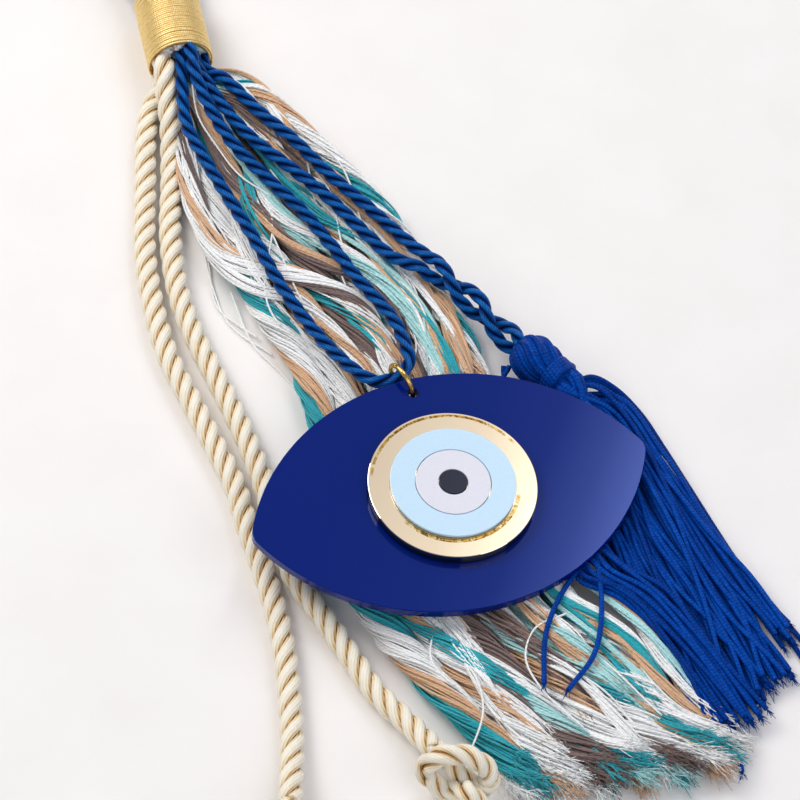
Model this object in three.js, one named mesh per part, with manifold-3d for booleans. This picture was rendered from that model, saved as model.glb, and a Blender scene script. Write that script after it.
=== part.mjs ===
// An evil eye ornament: a hanging charm of twisted cords, cotton yarn, a tassel and an acrylic eye.
// It lies flat as on a table. Millimetres, +Z up, the hanging loop towards +Y, the tassel towards +X.
import * as THREE from "three";
import { mergeVertices } from "three/addons/utils/BufferGeometryUtils.js";
import Module from "manifold-3d";

// ---- driving dimensions ----
const GAP = 0.3; // between pieces that touch
const ORIGIN_SHIFT = [-1.67, 8.0, 0]; // puts the middle of the footprint on the origin

const COLLAR_DIAMETER = 21;
const COLLAR_LENGTH = 27;
const COLLAR_WALL = 1.4;
const COLLAR_HEIGHT = 10.8; // of its axis over the table
const COLLAR_MOUTH = [-77.7, 81.5]; // centre of the end that the cords leave
const COLLAR_AXIS = [0.214, -0.977]; // from the loop end to the mouth
const COLLAR_SIDE = [0.977, 0.214]; // across the collar, to its right

const ROPE_DIAMETER = 7.2; // cream three-ply rope
const CORD_DIAMETER = 4.2; // blue three-ply cord
const YARN_NECK = 1.5; // radius of a lock of yarn where the collar grips it
const LOOP_DIAMETER = 8.4; // bundle of yarn folded into the hanging loop

const PLATE_HALF_LENGTH = 61.5; // to where its two arcs cross
const PLATE_HALF_WIDTH = 40.5;
const PLATE_TIP_RADIUS = 5;
const PLATE_THICKNESS = 3;
const PLATE_CENTRE = [7, -83, 15.1];
const PLATE_TURN = 18.5; // degrees about the vertical
const PLATE_LEAN = 5.5; // degrees, right tip down
const HOLE_DIAMETER = 3.2;
const HOLE_OFFSET = 35.5; // from the middle of the plate to the hole

const GOLD_DIAMETER = 50;
const GOLD_THICKNESS = 3;
const IRIS_DIAMETER = 37.5;
const WHITE_DIAMETER = 22.4;
const PUPIL_DIAMETER = 8.5;
const INLAY_THICKNESS = 1;

const RING_DIAMETER = 13; // outside
const RING_WIRE = 1.5;
const RING_SPLIT = 4; // degrees left open where the ring was bent shut
const RING_DIRECTION = [-0.567, 0.824]; // from the hole towards the cord
const CORD_BEND = 8.4; // radius of the pendant cord where it turns through the ring
const CORD_BEND_DROP = 0.6; // how far it sinks on its way out of the bend
const CORD_PAST_RING = 2.5; // from the ring's centre to the middle of the cord

const HEAD_RADIUS = 7.6;
const HEAD_CENTRE = [33, -30.8, 7.9];
const TASSEL_AXIS = [0.722, -0.692]; // from the cords to the skirt
const BAND_START = 6.3; // from the head's centre, along the tassel
const BAND_LENGTH = 6;
const BAND_RADIUS = 6.3;
const NECK_RADIUS = 4.7;
const PAIR_RADIUS = 2.5; // half the distance between the two tassel cords where they twist
const PAIR_TURNS = 1.25;

const KNOT_RADIUS = 10;
const KNOT_LENGTH = 20;
const TAIL_LENGTH = 9; // frayed rope past the knot
const TAIL_START = 3; // its radius at the knot
const TAIL_END = 4.6; // and at the cut

const ROUND = 56; // sides of a disc
const wasm = await Module();
wasm.setup();

// ---- materials ----
const material = (color, roughness, metalness = 0) =>
  new THREE.MeshStandardMaterial({ color, roughness, metalness });
const goldThread = material("#d9a94f", 0.45, 0.6);
const goldMetal = material("#dcb25a", 0.22, 1);
const goldMirror = material("#f0c987", 0.06, 1);
const creamSatin = material("#e8d4aa", 0.55);
const blueSatin = material("#0b3a8a", 0.5);
const tasselViscose = material("#0b3ca0", 0.6);
const blueAcrylic = material("#00237a", 0.06);
const lightBlueAcrylic = material("#c3e1f7", 0.12);
const whiteAcrylic = material("#dcdce9", 0.12);
const blackAcrylic = material("#20253a", 0.15);
const whiteYarn = material("#efeae4", 0.95);
const tanYarn = material("#d6ad8a", 0.95);
const brownYarn = material("#7a6460", 0.95);
const aquaYarn = material("#bfe3e0", 0.95);
const tealYarn = material("#14a3ad", 0.95);

// ---- helpers ----
const ornament = new THREE.Group();

function piece(name, geometry, finish, parent = ornament) {
  const mesh = new THREE.Mesh(geometry, finish);
  mesh.name = name;
  parent.add(mesh);
  return mesh;
}

// A point of the collar's mouth: side is across it, height is over the table, out is past the mouth.
function mouthPoint(side, height, out = GAP) {
  return [
    COLLAR_MOUTH[0] + COLLAR_SIDE[0] * side + COLLAR_AXIS[0] * out,
    COLLAR_MOUTH[1] + COLLAR_SIDE[1] * side + COLLAR_AXIS[1] * out,
    height,
  ];
}

const curveThrough = (points) =>
  new THREE.CatmullRomCurve3(points.map((p) => new THREE.Vector3(...p)), false, "centripetal");

// A round cord along a route.
function cord(points, diameter, steps, sides) {
  const section = new THREE.Shape();
  section.absarc(0, 0, diameter / 2, 0, 2 * Math.PI);
  return new THREE.ExtrudeGeometry(section, {
    steps,
    curveSegments: sides / 2,
    bevelEnabled: false,
    extrudePath: curveThrough(points),
  });
}

// A lock of yarn or tassel strands lying on the table: an oval section that changes along the route.
// Each row is [x, y, half width, half height, height of its underside].
function lock(rows, steps = 16, sides = 8) {
  const curve = curveThrough(rows.map(([x, y, , tall, under]) => [x, y, under + tall]));
  const sizes = curveThrough(rows.map(([, , wide, tall]) => [wide, tall, 0]));
  const vertices = [];
  const triangles = [];
  for (let i = 0; i <= steps; i++) {
    const t = i / steps;
    const centre = curve.getPoint(t);
    const { x: wide, y: tall } = sizes.getPoint(t);
    const ahead = curve.getTangent(t);
    const across = new THREE.Vector3(-ahead.y, ahead.x, 0).normalize();
    const up = new THREE.Vector3().crossVectors(ahead, across);
    for (let j = 0; j < sides; j++) {
      const angle = (2 * Math.PI * j) / sides;
      const v = centre.clone();
      v.addScaledVector(across, wide * Math.cos(angle)).addScaledVector(up, tall * Math.sin(angle));
      vertices.push(v.x, v.y, Math.max(v.z, 0));
    }
  }
  for (let i = 0; i < steps; i++)
    for (let j = 0; j < sides; j++) {
      const a = i * sides + j;
      const b = i * sides + ((j + 1) % sides);
      triangles.push(a, b, b + sides, a, b + sides, a + sides);
    }
  const last = steps * sides;
  for (let j = 1; j < sides - 1; j++) {
    triangles.push(0, j + 1, j);
    triangles.push(last, last + j, last + j + 1);
  }
  const geometry = new THREE.BufferGeometry();
  geometry.setAttribute("position", new THREE.Float32BufferAttribute(vertices, 3));
  geometry.setIndex(triangles);
  return geometry;
}

// Turns a solid made around +Y so that it runs from a start point in a direction.
function aim(mesh, start, direction) {
  mesh.quaternion.setFromUnitVectors(new THREE.Vector3(0, 1, 0), new THREE.Vector3(...direction).normalize());
  mesh.position.set(...start);
}

function turned(profile, sides) {
  return new THREE.LatheGeometry(profile.map(([r, y]) => new THREE.Vector2(r, y)), sides);
}

// A sleeve or a flat ring around +Y.
function sleeve(outer, inner, length, sides) {
  return turned([[inner, 0], [outer, 0], [outer, length], [inner, length], [inner, 0]], sides);
}

function solidOf(geometry) {
  const bare = geometry.clone().deleteAttribute("normal").deleteAttribute("uv");
  const merged = mergeVertices(bare, 1e-4);
  const mesh = new wasm.Mesh({
    numProp: 3,
    vertProperties: new Float32Array(merged.attributes.position.array),
    triVerts: new Uint32Array(merged.index.array),
  });
  return new wasm.Manifold(mesh);
}

function geometryOf(solid) {
  const mesh = solid.getMesh();
  const geometry = new THREE.BufferGeometry();
  geometry.setAttribute("position", new THREE.BufferAttribute(mesh.vertProperties, 3));
  geometry.setIndex(new THREE.BufferAttribute(mesh.triVerts, 1));
  return geometry;
}

// ---- collar: gold thread wound round the bundle, and the gathered yarn inside it ----
const collarTop = [
  COLLAR_MOUTH[0] - COLLAR_AXIS[0] * COLLAR_LENGTH,
  COLLAR_MOUTH[1] - COLLAR_AXIS[1] * COLLAR_LENGTH,
  COLLAR_HEIGHT,
];
const collarDirection = [...COLLAR_AXIS, 0];
const collarBore = COLLAR_DIAMETER / 2 - COLLAR_WALL;
aim(
  piece("wrap_collar", sleeve(COLLAR_DIAMETER / 2, collarBore, COLLAR_LENGTH, 36), goldThread),
  collarTop,
  collarDirection,
);
const CORE_RECESS = 1; // from each end of the collar
const coreLength = COLLAR_LENGTH - 2 * CORE_RECESS;
const core = piece(
  "bundle_core",
  new THREE.CylinderGeometry(collarBore - GAP, collarBore - GAP, coreLength, 24),
  whiteYarn,
);
aim(core, mouthPoint(0, COLLAR_HEIGHT, -COLLAR_LENGTH / 2), collarDirection);

// ---- hanging loop: the same yarn folded over above the collar ----
piece(
  "hanging_loop",
  cord(
    [
      mouthPoint(-5.0, 10.8, -COLLAR_LENGTH - GAP),
      mouthPoint(-5.2, 10.4, -COLLAR_LENGTH - 4),
      [-93.6, 116.5, 8.6],
      [-98.6, 126.0, 5.2],
      [-101.0, 138.0, 4.3],
      [-99.0, 149.0, 4.3],
      [-92.0, 154.0, 4.3],
      [-84.5, 150.5, 4.3],
      [-81.5, 140.0, 4.3],
      [-80.8, 127.0, 5.2],
      [-80.2, 117.5, 8.6],
      mouthPoint(5.0, 10.4, -COLLAR_LENGTH - 4),
      mouthPoint(4.8, 10.8, -COLLAR_LENGTH - GAP),
    ],
    LOOP_DIAMETER,
    28,
    8,
  ),
  whiteYarn,
);

// ---- yarn: six locks of mixed cotton threads, from the mouth to their brushed ends ----
const yarnLocks = {
  yarn_lock_teal_left: [tealYarn, [-1.2, 5.8], [
    [-72.0, 62.0, 2.6, 2.6, 0.2],
    [-68.0, 41.0, 3.3, 3.6, 0],
    [-62.0, 19.0, 3.9, 4.4, 0],
    [-50.5, -7.0, 4.2, 4.4, 0],
    [-37.0, -31.0, 4.3, 4.4, 0],
    [-30.0, -58.0, 4.4, 4.6, 0],
    [-29.0, -88.0, 4.8, 4.8, 0],
    [-18.4, -113.2, 4.2, 5.0, 0],
    [-1.0, -137.8, 4.4, 5.0, 0],
    [18.5, -160.5, 3.9, 4.6, 0],
    [27.0, -171.5, 3.9, 4.4, 0],
  ]],
  yarn_lock_white_left: [whiteYarn, [-1.8, 9.6], [
    [-69.5, 64.0, 2.6, 2.6, 5.6],
    [-61.0, 42.0, 3.3, 3.6, 1.6],
    [-53.5, 20.5, 3.9, 4.4, 0],
    [-42.0, -2.0, 4.2, 4.4, 0],
    [-28.5, -26.5, 4.3, 4.4, 0],
    [-20.5, -55.5, 4.4, 4.6, 0],
    [-18.0, -86.0, 5.0, 4.8, 0],
    [-7.2, -112.6, 4.2, 5.0, 0],
    [10.6, -137.6, 4.4, 5.0, 0],
    [28.8, -159.1, 3.9, 4.6, 0],
    [37.7, -169.7, 3.9, 4.4, 0],
  ]],
  yarn_lock_brown: [brownYarn, [2.4, 4.6], [
    [-65.6, 66.0, 2.6, 2.6, 0.2],
    [-54.5, 45.5, 3.3, 3.6, 0],
    [-45.0, 24.5, 3.9, 4.4, 0],
    [-33.5, 3.0, 4.2, 4.4, 0],
    [-20.0, -21.5, 4.3, 4.4, 0],
    [-11.0, -52.5, 4.4, 4.6, 0],
    [-6.5, -84.0, 5.0, 4.8, 0],
    [4.0, -112.0, 4.2, 5.0, 0],
    [22.2, -137.4, 4.4, 5.0, 0],
    [39.1, -157.7, 3.9, 4.6, 0],
    [48.4, -167.9, 3.9, 4.4, 0],
  ]],
  yarn_lock_white_right: [whiteYarn, [2.0, 8.4], [
    [-61.6, 69.0, 2.4, 2.4, 6.0],
    [-47.8, 50.0, 3.3, 3.6, 2.0],
    [-36.6, 29.0, 3.9, 4.4, 0],
    [-25.0, 7.5, 4.2, 4.4, 0],
    [-11.5, -17.0, 4.3, 4.4, 0],
    [-1.5, -49.0, 4.4, 4.6, 0],
    [5.5, -82.0, 5.0, 4.8, 0],
    [15.2, -111.4, 4.2, 5.0, 0],
    [33.8, -137.2, 4.4, 5.0, 0],
    [49.4, -156.3, 3.9, 4.6, 0],
    [59.1, -166.1, 3.9, 4.4, 0],
  ]],
  yarn_lock_aqua: [aquaYarn, [5.6, 2.8], [
    [-58.2, 71.0, 2.6, 2.6, 0.2],
    [-42.0, 52.5, 3.3, 3.6, 0],
    [-28.5, 32.5, 3.9, 4.4, 0],
    [-16.5, 12.0, 4.2, 4.4, 0],
    [-3.0, -12.5, 4.3, 4.4, 0],
    [8.0, -45.0, 4.4, 4.6, 0],
    [17.5, -79.0, 4.6, 4.6, 0],
    [26.4, -110.8, 4.2, 4.8, 0],
    [45.4, -137.1, 4.4, 4.8, 0],
    [59.7, -154.9, 3.9, 4.6, 0],
    [69.8, -164.3, 3.9, 4.4, 0],
  ]],
  yarn_lock_tan_right: [tanYarn, [5.8, 6.2], [
    [-54.0, 73.5, 2.6, 2.6, 4.6],
    [-36.0, 56.0, 3.3, 3.6, 0.6],
    [-20.5, 36.5, 3.9, 4.2, 0],
    [-8.0, 16.5, 4.2, 4.2, 0],
    [5.5, -8.0, 4.3, 4.0, 0],
    [17.0, -41.0, 4.2, 3.8, 0],
    [29.0, -76.0, 4.2, 4.0, 0],
    [37.6, -110.2, 4.0, 4.4, 0],
    [57.0, -137.0, 4.2, 4.6, 0],
    [70.0, -153.5, 3.9, 4.4, 0],
    [80.5, -162.5, 3.9, 4.2, 0],
  ]],
};
for (const [name, [finish, [side, height], rows]] of Object.entries(yarnLocks)) {
  const leaving = [2 * GAP, 5].map((out) => {
    const [x, y] = mouthPoint(side, height, out);
    return [x, y, YARN_NECK, YARN_NECK, height - YARN_NECK];
  });
  piece(name, lock([...leaving, ...rows]), finish);
}

// ---- cream ropes: each ends in an overhand knot with a frayed tail ----
const ropeRoutes = {
  left: [
    mouthPoint(-6.6, 6.4),
    mouthPoint(-6.6, 6.4, 4),
    [-87.2, 68.0, 4.4],
    [-88.4, 56.0, 3.8],
    [-88.0, 41.3, 3.7],
    [-86.9, 11.8, 3.75],
    [-83.7, -7.6, 3.75],
    [-78.5, -26.6, 3.75],
    [-70.6, -43.8, 3.75],
    [-62.7, -60.7, 3.75],
    [-57.0, -73.5, 3.75],
    [-53.5, -86.5, 3.75],
    [-49.0, -100.0, 3.75],
    [-45.0, -113.3, 3.75],
    [-41.8, -127.8, 3.75],
    [-39.4, -147.9, 3.75],
    [-38.6, -164.5, 4.6],
    [-38.8, -182.0, 8.2],
  ],
  right: [
    mouthPoint(-5.8, 13.6),
    mouthPoint(-5.8, 13.4, 4),
    [-81.8, 69.0, 10.6],
    [-80.6, 61.0, 8.0],
    [-80.0, 51.0, 5.0],
    [-79.6, 38.0, 3.8],
    [-79.3, 19.0, 3.7],
    [-76.2, -2.0, 3.75],
    [-70.4, -19.5, 3.75],
    [-62.9, -36.0, 3.75],
    [-54.9, -54.5, 3.75],
    [-47.6, -75.3, 3.75],
    [-43.6, -92.0, 3.75],
    [-38.6, -105.4, 3.75],
    [-31.0, -117.4, 3.75],
    [-22.4, -131.6, 3.75],
    [-14.6, -144.0, 3.75],
    [-5.0, -155.0, 5.0],
    [2.0, -164.8, 8.0],
  ],
};
for (const [side, route] of Object.entries(ropeRoutes)) {
  piece("cream_rope_" + side, cord(route, ROPE_DIAMETER, 32, 10), creamSatin);
  const end = new THREE.Vector3(...route.at(-1));
  const before = new THREE.Vector3(...route.at(-2));
  const direction = end.clone().sub(before).setZ(0).normalize();
  const knotStart = end.clone().addScaledVector(direction, 2 * GAP).setZ(KNOT_RADIUS);
  const knotProfile = [-90, -60, -30, 0, 30, 60, 90].map((degrees) => {
    const angle = THREE.MathUtils.degToRad(degrees);
    return [KNOT_RADIUS * Math.cos(angle), (KNOT_LENGTH / 2) * (1 + Math.sin(angle))];
  });
  aim(
    piece("cream_knot_" + side, turned(knotProfile, 12), creamSatin),
    knotStart.toArray(),
    direction.toArray(),
  );
  const tailStart = knotStart.clone().addScaledVector(direction, KNOT_LENGTH + GAP);
  const tailProfile = [[0, 0], [TAIL_START, 0], [TAIL_END, TAIL_LENGTH], [0, TAIL_LENGTH]];
  aim(
    piece("cream_tail_" + side, turned(tailProfile, 10), creamSatin),
    tailStart.setZ(TAIL_END + GAP / 2).toArray(),
    direction.toArray(),
  );
}

// ---- pendant cord: one blue cord, out of the mouth, through the ring and back ----
const ringRadius = (RING_DIAMETER - RING_WIRE) / 2;
const holeLean = HOLE_OFFSET * Math.sin(THREE.MathUtils.degToRad(PLATE_TURN));
const lean = THREE.MathUtils.degToRad(PLATE_LEAN);
const holeCentre = [
  PLATE_CENTRE[0] - holeLean * Math.cos(lean),
  PLATE_CENTRE[1] + HOLE_OFFSET * Math.cos(THREE.MathUtils.degToRad(PLATE_TURN)),
  PLATE_CENTRE[2] + holeLean * Math.sin(lean),
];
const fromHole = (distance) => [
  holeCentre[0] + RING_DIRECTION[0] * distance,
  holeCentre[1] + RING_DIRECTION[1] * distance,
];
const ringCentre = [...fromHole(ringRadius), holeCentre[2]];
const bendCentre = fromHole(ringRadius + CORD_PAST_RING + CORD_BEND);
const ringHeading = THREE.MathUtils.radToDeg(Math.atan2(-RING_DIRECTION[0], RING_DIRECTION[1]));
const bend = [-84.5, -49.5, -14.5, 20.5, 55.5, 81.5].map((turnedBy) => {
  const angle = THREE.MathUtils.degToRad(ringHeading + turnedBy);
  return [
    bendCentre[0] + CORD_BEND * Math.sin(angle),
    bendCentre[1] - CORD_BEND * Math.cos(angle),
    holeCentre[2] - (CORD_BEND_DROP * Math.abs(turnedBy)) / 80,
  ];
});
piece(
  "pendant_cord",
  cord(
    [
      mouthPoint(-0.2, 15.4),
      mouthPoint(-0.2, 15.2, 4),
      [-76.8, 70.0, 14.2],
      [-75.0, 55.6, 13.0],
      [-69.1, 42.4, 12.6],
      [-60.8, 26.4, 12.6],
      [-53.1, 11.8, 12.6],
      [-45.2, -4.8, 12.6],
      [-36.6, -19.6, 12.8],
      [-28.4, -31.4, 13.8],
      ...bend,
      [-8.6, -23.4, 14.6],
      [-13.0, -15.0, 13.2],
      [-21.3, -3.4, 12.6],
      [-29.1, 8.8, 12.6],
      [-38.6, 22.4, 12.6],
      [-49.2, 34.4, 12.8],
      [-60.6, 48.0, 13.8],
      [-69.0, 63.0, 15.8],
      [-73.2, 74.5, 18.0],
      mouthPoint(3.2, 18.4, 4),
      mouthPoint(3.2, 18.4),
    ],
    CORD_DIAMETER,
    72,
    8,
  ),
  blueSatin,
);

// ---- tassel cords: side by side down to the edge of the yarn, then twisted into the tassel's head ----
const tasselDirection = new THREE.Vector3(...TASSEL_AXIS, 0).normalize();
const headCentre = new THREE.Vector3(...HEAD_CENTRE);
const pairAxis = curveThrough([
  [0.5, 1.0, 13.4],
  [7.0, -5.0, 12.8],
  [14.4, -11.8, 11.0],
  [20.8, -18.6, 9.0],
  headCentre.clone().addScaledVector(tasselDirection, -HEAD_RADIUS - 3 * GAP).toArray(),
]);
// One cord of the twisted pair; phase 0 starts on the left of the pair, 0.5 on the right.
function pairRoute(phase) {
  const route = [];
  for (let i = 0; i <= 14; i++) {
    const t = i / 14;
    const ahead = pairAxis.getTangent(t);
    const across = new THREE.Vector3(-ahead.y, ahead.x, 0).normalize();
    const up = new THREE.Vector3().crossVectors(ahead, across);
    const angle = 2 * Math.PI * (PAIR_TURNS * t + phase);
    const point = pairAxis.getPoint(t);
    point.addScaledVector(across, PAIR_RADIUS * Math.cos(angle));
    point.addScaledVector(up, PAIR_RADIUS * Math.sin(angle));
    route.push(point.toArray());
  }
  return route;
}
piece(
  "tassel_cord_left",
  cord(
    [
      mouthPoint(4.4, 13.9),
      mouthPoint(4.4, 13.9, 4),
      [-69.4, 72.4, 13.8],
      [-63.0, 61.4, 13.4],
      [-53.6, 49.2, 13.0],
      [-42.9, 39.6, 12.6],
      [-30.8, 27.8, 12.6],
      [-19.2, 14.0, 12.6],
      [-10.6, 4.6, 12.6],
      ...pairRoute(0.5),
    ],
    CORD_DIAMETER,
    64,
    8,
  ),
  blueSatin,
);
piece(
  "tassel_cord_right",
  cord(
    [
      mouthPoint(7.4, 10.4),
      mouthPoint(7.6, 10.6, 4),
      [-64.0, 74.6, 12.6],
      [-52.7, 61.4, 12.6],
      [-41.5, 50.0, 12.6],
      [-30.7, 37.0, 12.6],
      [-19.8, 25.6, 12.6],
      [-9.6, 14.4, 12.6],
      [-3.4, 8.0, 12.6],
      ...pairRoute(0),
    ],
    CORD_DIAMETER,
    64,
    8,
  ),
  blueSatin,
);

// ---- tassel: a round head of folded strands, a band wound round its neck, and the skirt ----
const alongTassel = (distance) =>
  headCentre.clone().addScaledVector(tasselDirection, distance).toArray();
const headProfile = [[0, -HEAD_RADIUS]];
for (let degrees = -75; degrees <= 45; degrees += 15) {
  const angle = THREE.MathUtils.degToRad(degrees);
  headProfile.push([HEAD_RADIUS * Math.cos(angle), HEAD_RADIUS * Math.sin(angle)]);
}
headProfile.push([NECK_RADIUS, BAND_START - 0.2], [NECK_RADIUS, BAND_START + BAND_LENGTH]);
headProfile.push([0, BAND_START + BAND_LENGTH]);
aim(piece("tassel_head", turned(headProfile, 20), tasselViscose), HEAD_CENTRE, tasselDirection.toArray());
aim(
  piece("tassel_neck_band", sleeve(BAND_RADIUS, NECK_RADIUS + GAP, BAND_LENGTH, 20), tasselViscose),
  alongTassel(BAND_START),
  tasselDirection.toArray(),
);
piece(
  "tassel_side_loop",
  cord(
    [
      [24.2, -30.6, 4.4],
      [23.4, -36.0, 2.6],
      [26.4, -41.4, 2.0],
      [31.4, -43.2, 2.0],
      [35.2, -42.6, 2.2],
    ],
    3.2,
    10,
    8,
  ),
  tasselViscose,
);

// Each skirt lock: where it leaves the neck (across, up from the axis), then its rows on the table.
const skirtLocks = [
  [[-3.6, -1.6], [
    [44.2, -57.0, 2.2, 2.8, 0],
    [49.0, -77.0, 2.3, 3.2, 0],
    [57.6, -99.0, 2.5, 3.2, 0],
    [68.2, -122.0, 2.9, 3.2, 0],
    [79.5, -150.5, 3.2, 2.8, 0],
  ]],
  [[-1.8, 2.6], [
    [48.7, -55.0, 2.1, 2.8, 1.2],
    [54.9, -75.0, 2.2, 3.2, 0],
    [62.8, -96.4, 2.6, 3.2, 0],
    [74.0, -119.4, 3.0, 3.2, 0],
    [86.6, -150.0, 3.2, 2.8, 0],
  ]],
  [[0, -3.2], [
    [51.8, -51.6, 2.1, 2.7, 0],
    [59.8, -72.2, 2.3, 3.2, 0],
    [69.0, -93.6, 2.6, 3.2, 0],
    [80.8, -116.4, 3.0, 3.2, 0],
    [94.0, -147.4, 3.4, 2.8, 0],
  ]],
  [[2.0, 1.6], [
    [55.0, -48.6, 2.2, 2.8, 1.2],
    [65.0, -69.4, 2.3, 3.2, 0],
    [75.2, -90.6, 2.6, 3.2, 0],
    [87.4, -113.2, 3.0, 3.2, 0],
    [100.6, -140.6, 3.4, 2.8, 0],
  ]],
  [[3.8, -2.4], [
    [57.6, -43.6, 2.2, 2.8, 0],
    [69.4, -64.8, 2.3, 3.2, 0],
    [81.0, -87.0, 2.6, 3.2, 0],
    [94.0, -109.6, 3.0, 3.2, 0],
    [106.0, -128.4, 3.0, 2.8, 0],
  ]],
];
const tasselSide = new THREE.Vector3(-tasselDirection.y, tasselDirection.x, 0);
skirtLocks.forEach(([[across, up], rows], index) => {
  const root = new THREE.Vector3(...alongTassel(BAND_START + BAND_LENGTH + 3 * GAP));
  root.addScaledVector(tasselSide, across);
  const centreHeight = HEAD_CENTRE[2] + up;
  const start = [root.x, root.y, 1.5, 1.5, centreHeight - 1.5];
  piece("tassel_skirt_" + (index + 1), lock([start, ...rows], 14), tasselViscose);
});

// ---- eye: the blue plate and what is stuck on it, in one leaning group ----
const eye = new THREE.Group();
eye.position.set(...PLATE_CENTRE);
eye.rotation.set(0, lean, THREE.MathUtils.degToRad(PLATE_TURN), "YXZ");
ornament.add(eye);

// The outline: two equal arcs, and a small round at each tip.
function eyeOutline() {
  const radius = (PLATE_HALF_LENGTH ** 2 + PLATE_HALF_WIDTH ** 2) / (2 * PLATE_HALF_WIDTH);
  const drop = radius - PLATE_HALF_WIDTH;
  const tipCentre = Math.sqrt((radius - PLATE_TIP_RADIUS) ** 2 - drop ** 2);
  const reach = Math.atan2(drop, tipCentre);
  const shape = new THREE.Shape();
  shape.absarc(0, -drop, radius, reach, Math.PI - reach, false);
  shape.absarc(-tipCentre, 0, PLATE_TIP_RADIUS, Math.PI - reach, Math.PI + reach, false);
  shape.absarc(0, drop, radius, Math.PI + reach, 2 * Math.PI - reach, false);
  shape.absarc(tipCentre, 0, PLATE_TIP_RADIUS, -reach, reach, false);
  return shape;
}
const plate = new THREE.ExtrudeGeometry(eyeOutline(), {
  depth: PLATE_THICKNESS,
  curveSegments: 14,
  bevelEnabled: false,
});
plate.translate(0, 0, -PLATE_THICKNESS / 2);
const drill = new THREE.CylinderGeometry(HOLE_DIAMETER / 2, HOLE_DIAMETER / 2, 4 * PLATE_THICKNESS, 20);
drill.rotateX(Math.PI / 2).translate(0, HOLE_OFFSET, 0);
piece("eye_plate", geometryOf(solidOf(plate).subtract(solidOf(drill))), blueAcrylic, eye);

// A disc or ring stuck on the plate, its underside at a height over the plate's middle plane.
function stuck(name, outer, inner, thickness, underside, finish) {
  const shape = new THREE.Shape().absarc(0, 0, outer / 2, 0, 2 * Math.PI);
  if (inner > 0) shape.holes.push(new THREE.Path().absarc(0, 0, inner / 2, 0, 2 * Math.PI, true));
  const disc = new THREE.ExtrudeGeometry(shape, {
    depth: thickness,
    curveSegments: ROUND / 2,
    bevelEnabled: false,
  });
  disc.translate(0, 0, underside);
  piece(name, disc, finish, eye);
}
const goldUnderside = PLATE_THICKNESS / 2 + GAP;
const inlayUnderside = goldUnderside + GOLD_THICKNESS + GAP;
stuck("gold_mirror_disc", GOLD_DIAMETER, 0, GOLD_THICKNESS, goldUnderside, goldMirror);
stuck("iris_ring", IRIS_DIAMETER, WHITE_DIAMETER + GAP, INLAY_THICKNESS, inlayUnderside, lightBlueAcrylic);
const whiteInner = PUPIL_DIAMETER + GAP;
stuck("white_ring", WHITE_DIAMETER - GAP, whiteInner, INLAY_THICKNESS, inlayUnderside, whiteAcrylic);
stuck("pupil_disc", PUPIL_DIAMETER - GAP, 0, INLAY_THICKNESS, inlayUnderside, blackAcrylic);

// ---- jump ring: upright, through the plate's hole and round the pendant cord ----
const ringRoute = [];
for (let i = 0; i <= 12; i++) {
  const angle = THREE.MathUtils.degToRad(60 + RING_SPLIT / 2 + ((360 - RING_SPLIT) * i) / 12);
  ringRoute.push([
    ringCentre[0] + RING_DIRECTION[0] * ringRadius * Math.cos(angle),
    ringCentre[1] + RING_DIRECTION[1] * ringRadius * Math.cos(angle),
    ringCentre[2] + ringRadius * Math.sin(angle),
  ]);
}
piece("jump_ring", cord(ringRoute, RING_WIRE, 36, 8), goldMetal);

ornament.position.set(...ORIGIN_SHIFT);
export default ornament;
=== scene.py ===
"""The looks of an evil eye ornament: satin ropes, cotton yarn, a tassel and an acrylic eye.

It lies flat on a pale table. Routes and sizes are in millimetres on the maker's layout,
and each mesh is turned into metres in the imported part's frame when it is made.
"""
import math

import bpy
import numpy as np
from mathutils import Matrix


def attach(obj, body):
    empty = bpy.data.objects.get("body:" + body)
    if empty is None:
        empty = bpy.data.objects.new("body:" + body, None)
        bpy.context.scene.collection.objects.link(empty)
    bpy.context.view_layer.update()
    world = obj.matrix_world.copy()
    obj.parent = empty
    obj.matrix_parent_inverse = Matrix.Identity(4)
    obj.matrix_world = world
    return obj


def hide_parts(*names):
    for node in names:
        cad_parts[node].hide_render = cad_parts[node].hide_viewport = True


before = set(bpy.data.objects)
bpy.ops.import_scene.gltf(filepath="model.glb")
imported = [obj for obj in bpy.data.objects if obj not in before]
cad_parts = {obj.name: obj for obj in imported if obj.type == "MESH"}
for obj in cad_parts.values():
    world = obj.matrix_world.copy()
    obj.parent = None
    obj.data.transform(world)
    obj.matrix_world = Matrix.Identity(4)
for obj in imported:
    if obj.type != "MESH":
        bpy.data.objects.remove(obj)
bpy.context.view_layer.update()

# ---- Camera, table and lamps ----
# The ornament is seen from the tassel's end, from high up, with a long lens.
MM = 0.001
LAYOUT_ORIGIN = np.array([-1.67, 8.0, 0.0])  # the layout's zero in the part's frame
CAMERA_AIM = (-8.0, -40.0, 0.0)
CAMERA_DISTANCE = 1150.0
CAMERA_ELEVATION = math.radians(56)
CAMERA_FIELD = math.radians(12.02)
PLATE_CENTRE = np.array([7.0, -83.0, 15.1])


def placed(points):
    """Layout millimetres as metres in the part's frame."""
    return (np.array(points, float) + LAYOUT_ORIGIN) * MM


def linear(hex_colour):
    """An sRGB hex colour as linear RGB."""
    srgb = np.array([int(hex_colour[i : i + 2], 16) for i in (1, 3, 5)]) / 255
    return np.where(srgb <= 0.04045, srgb / 12.92, ((srgb + 0.055) / 1.055) ** 2.4)


def rgba(hex_colour):
    return (*linear(hex_colour), 1.0)


def look_from(thing, place, aim):
    thing.location = placed(place)
    facing = thing.location - type(thing.location)(placed(aim))
    thing.rotation_euler = facing.to_track_quat("Z", "Y").to_euler()


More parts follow.
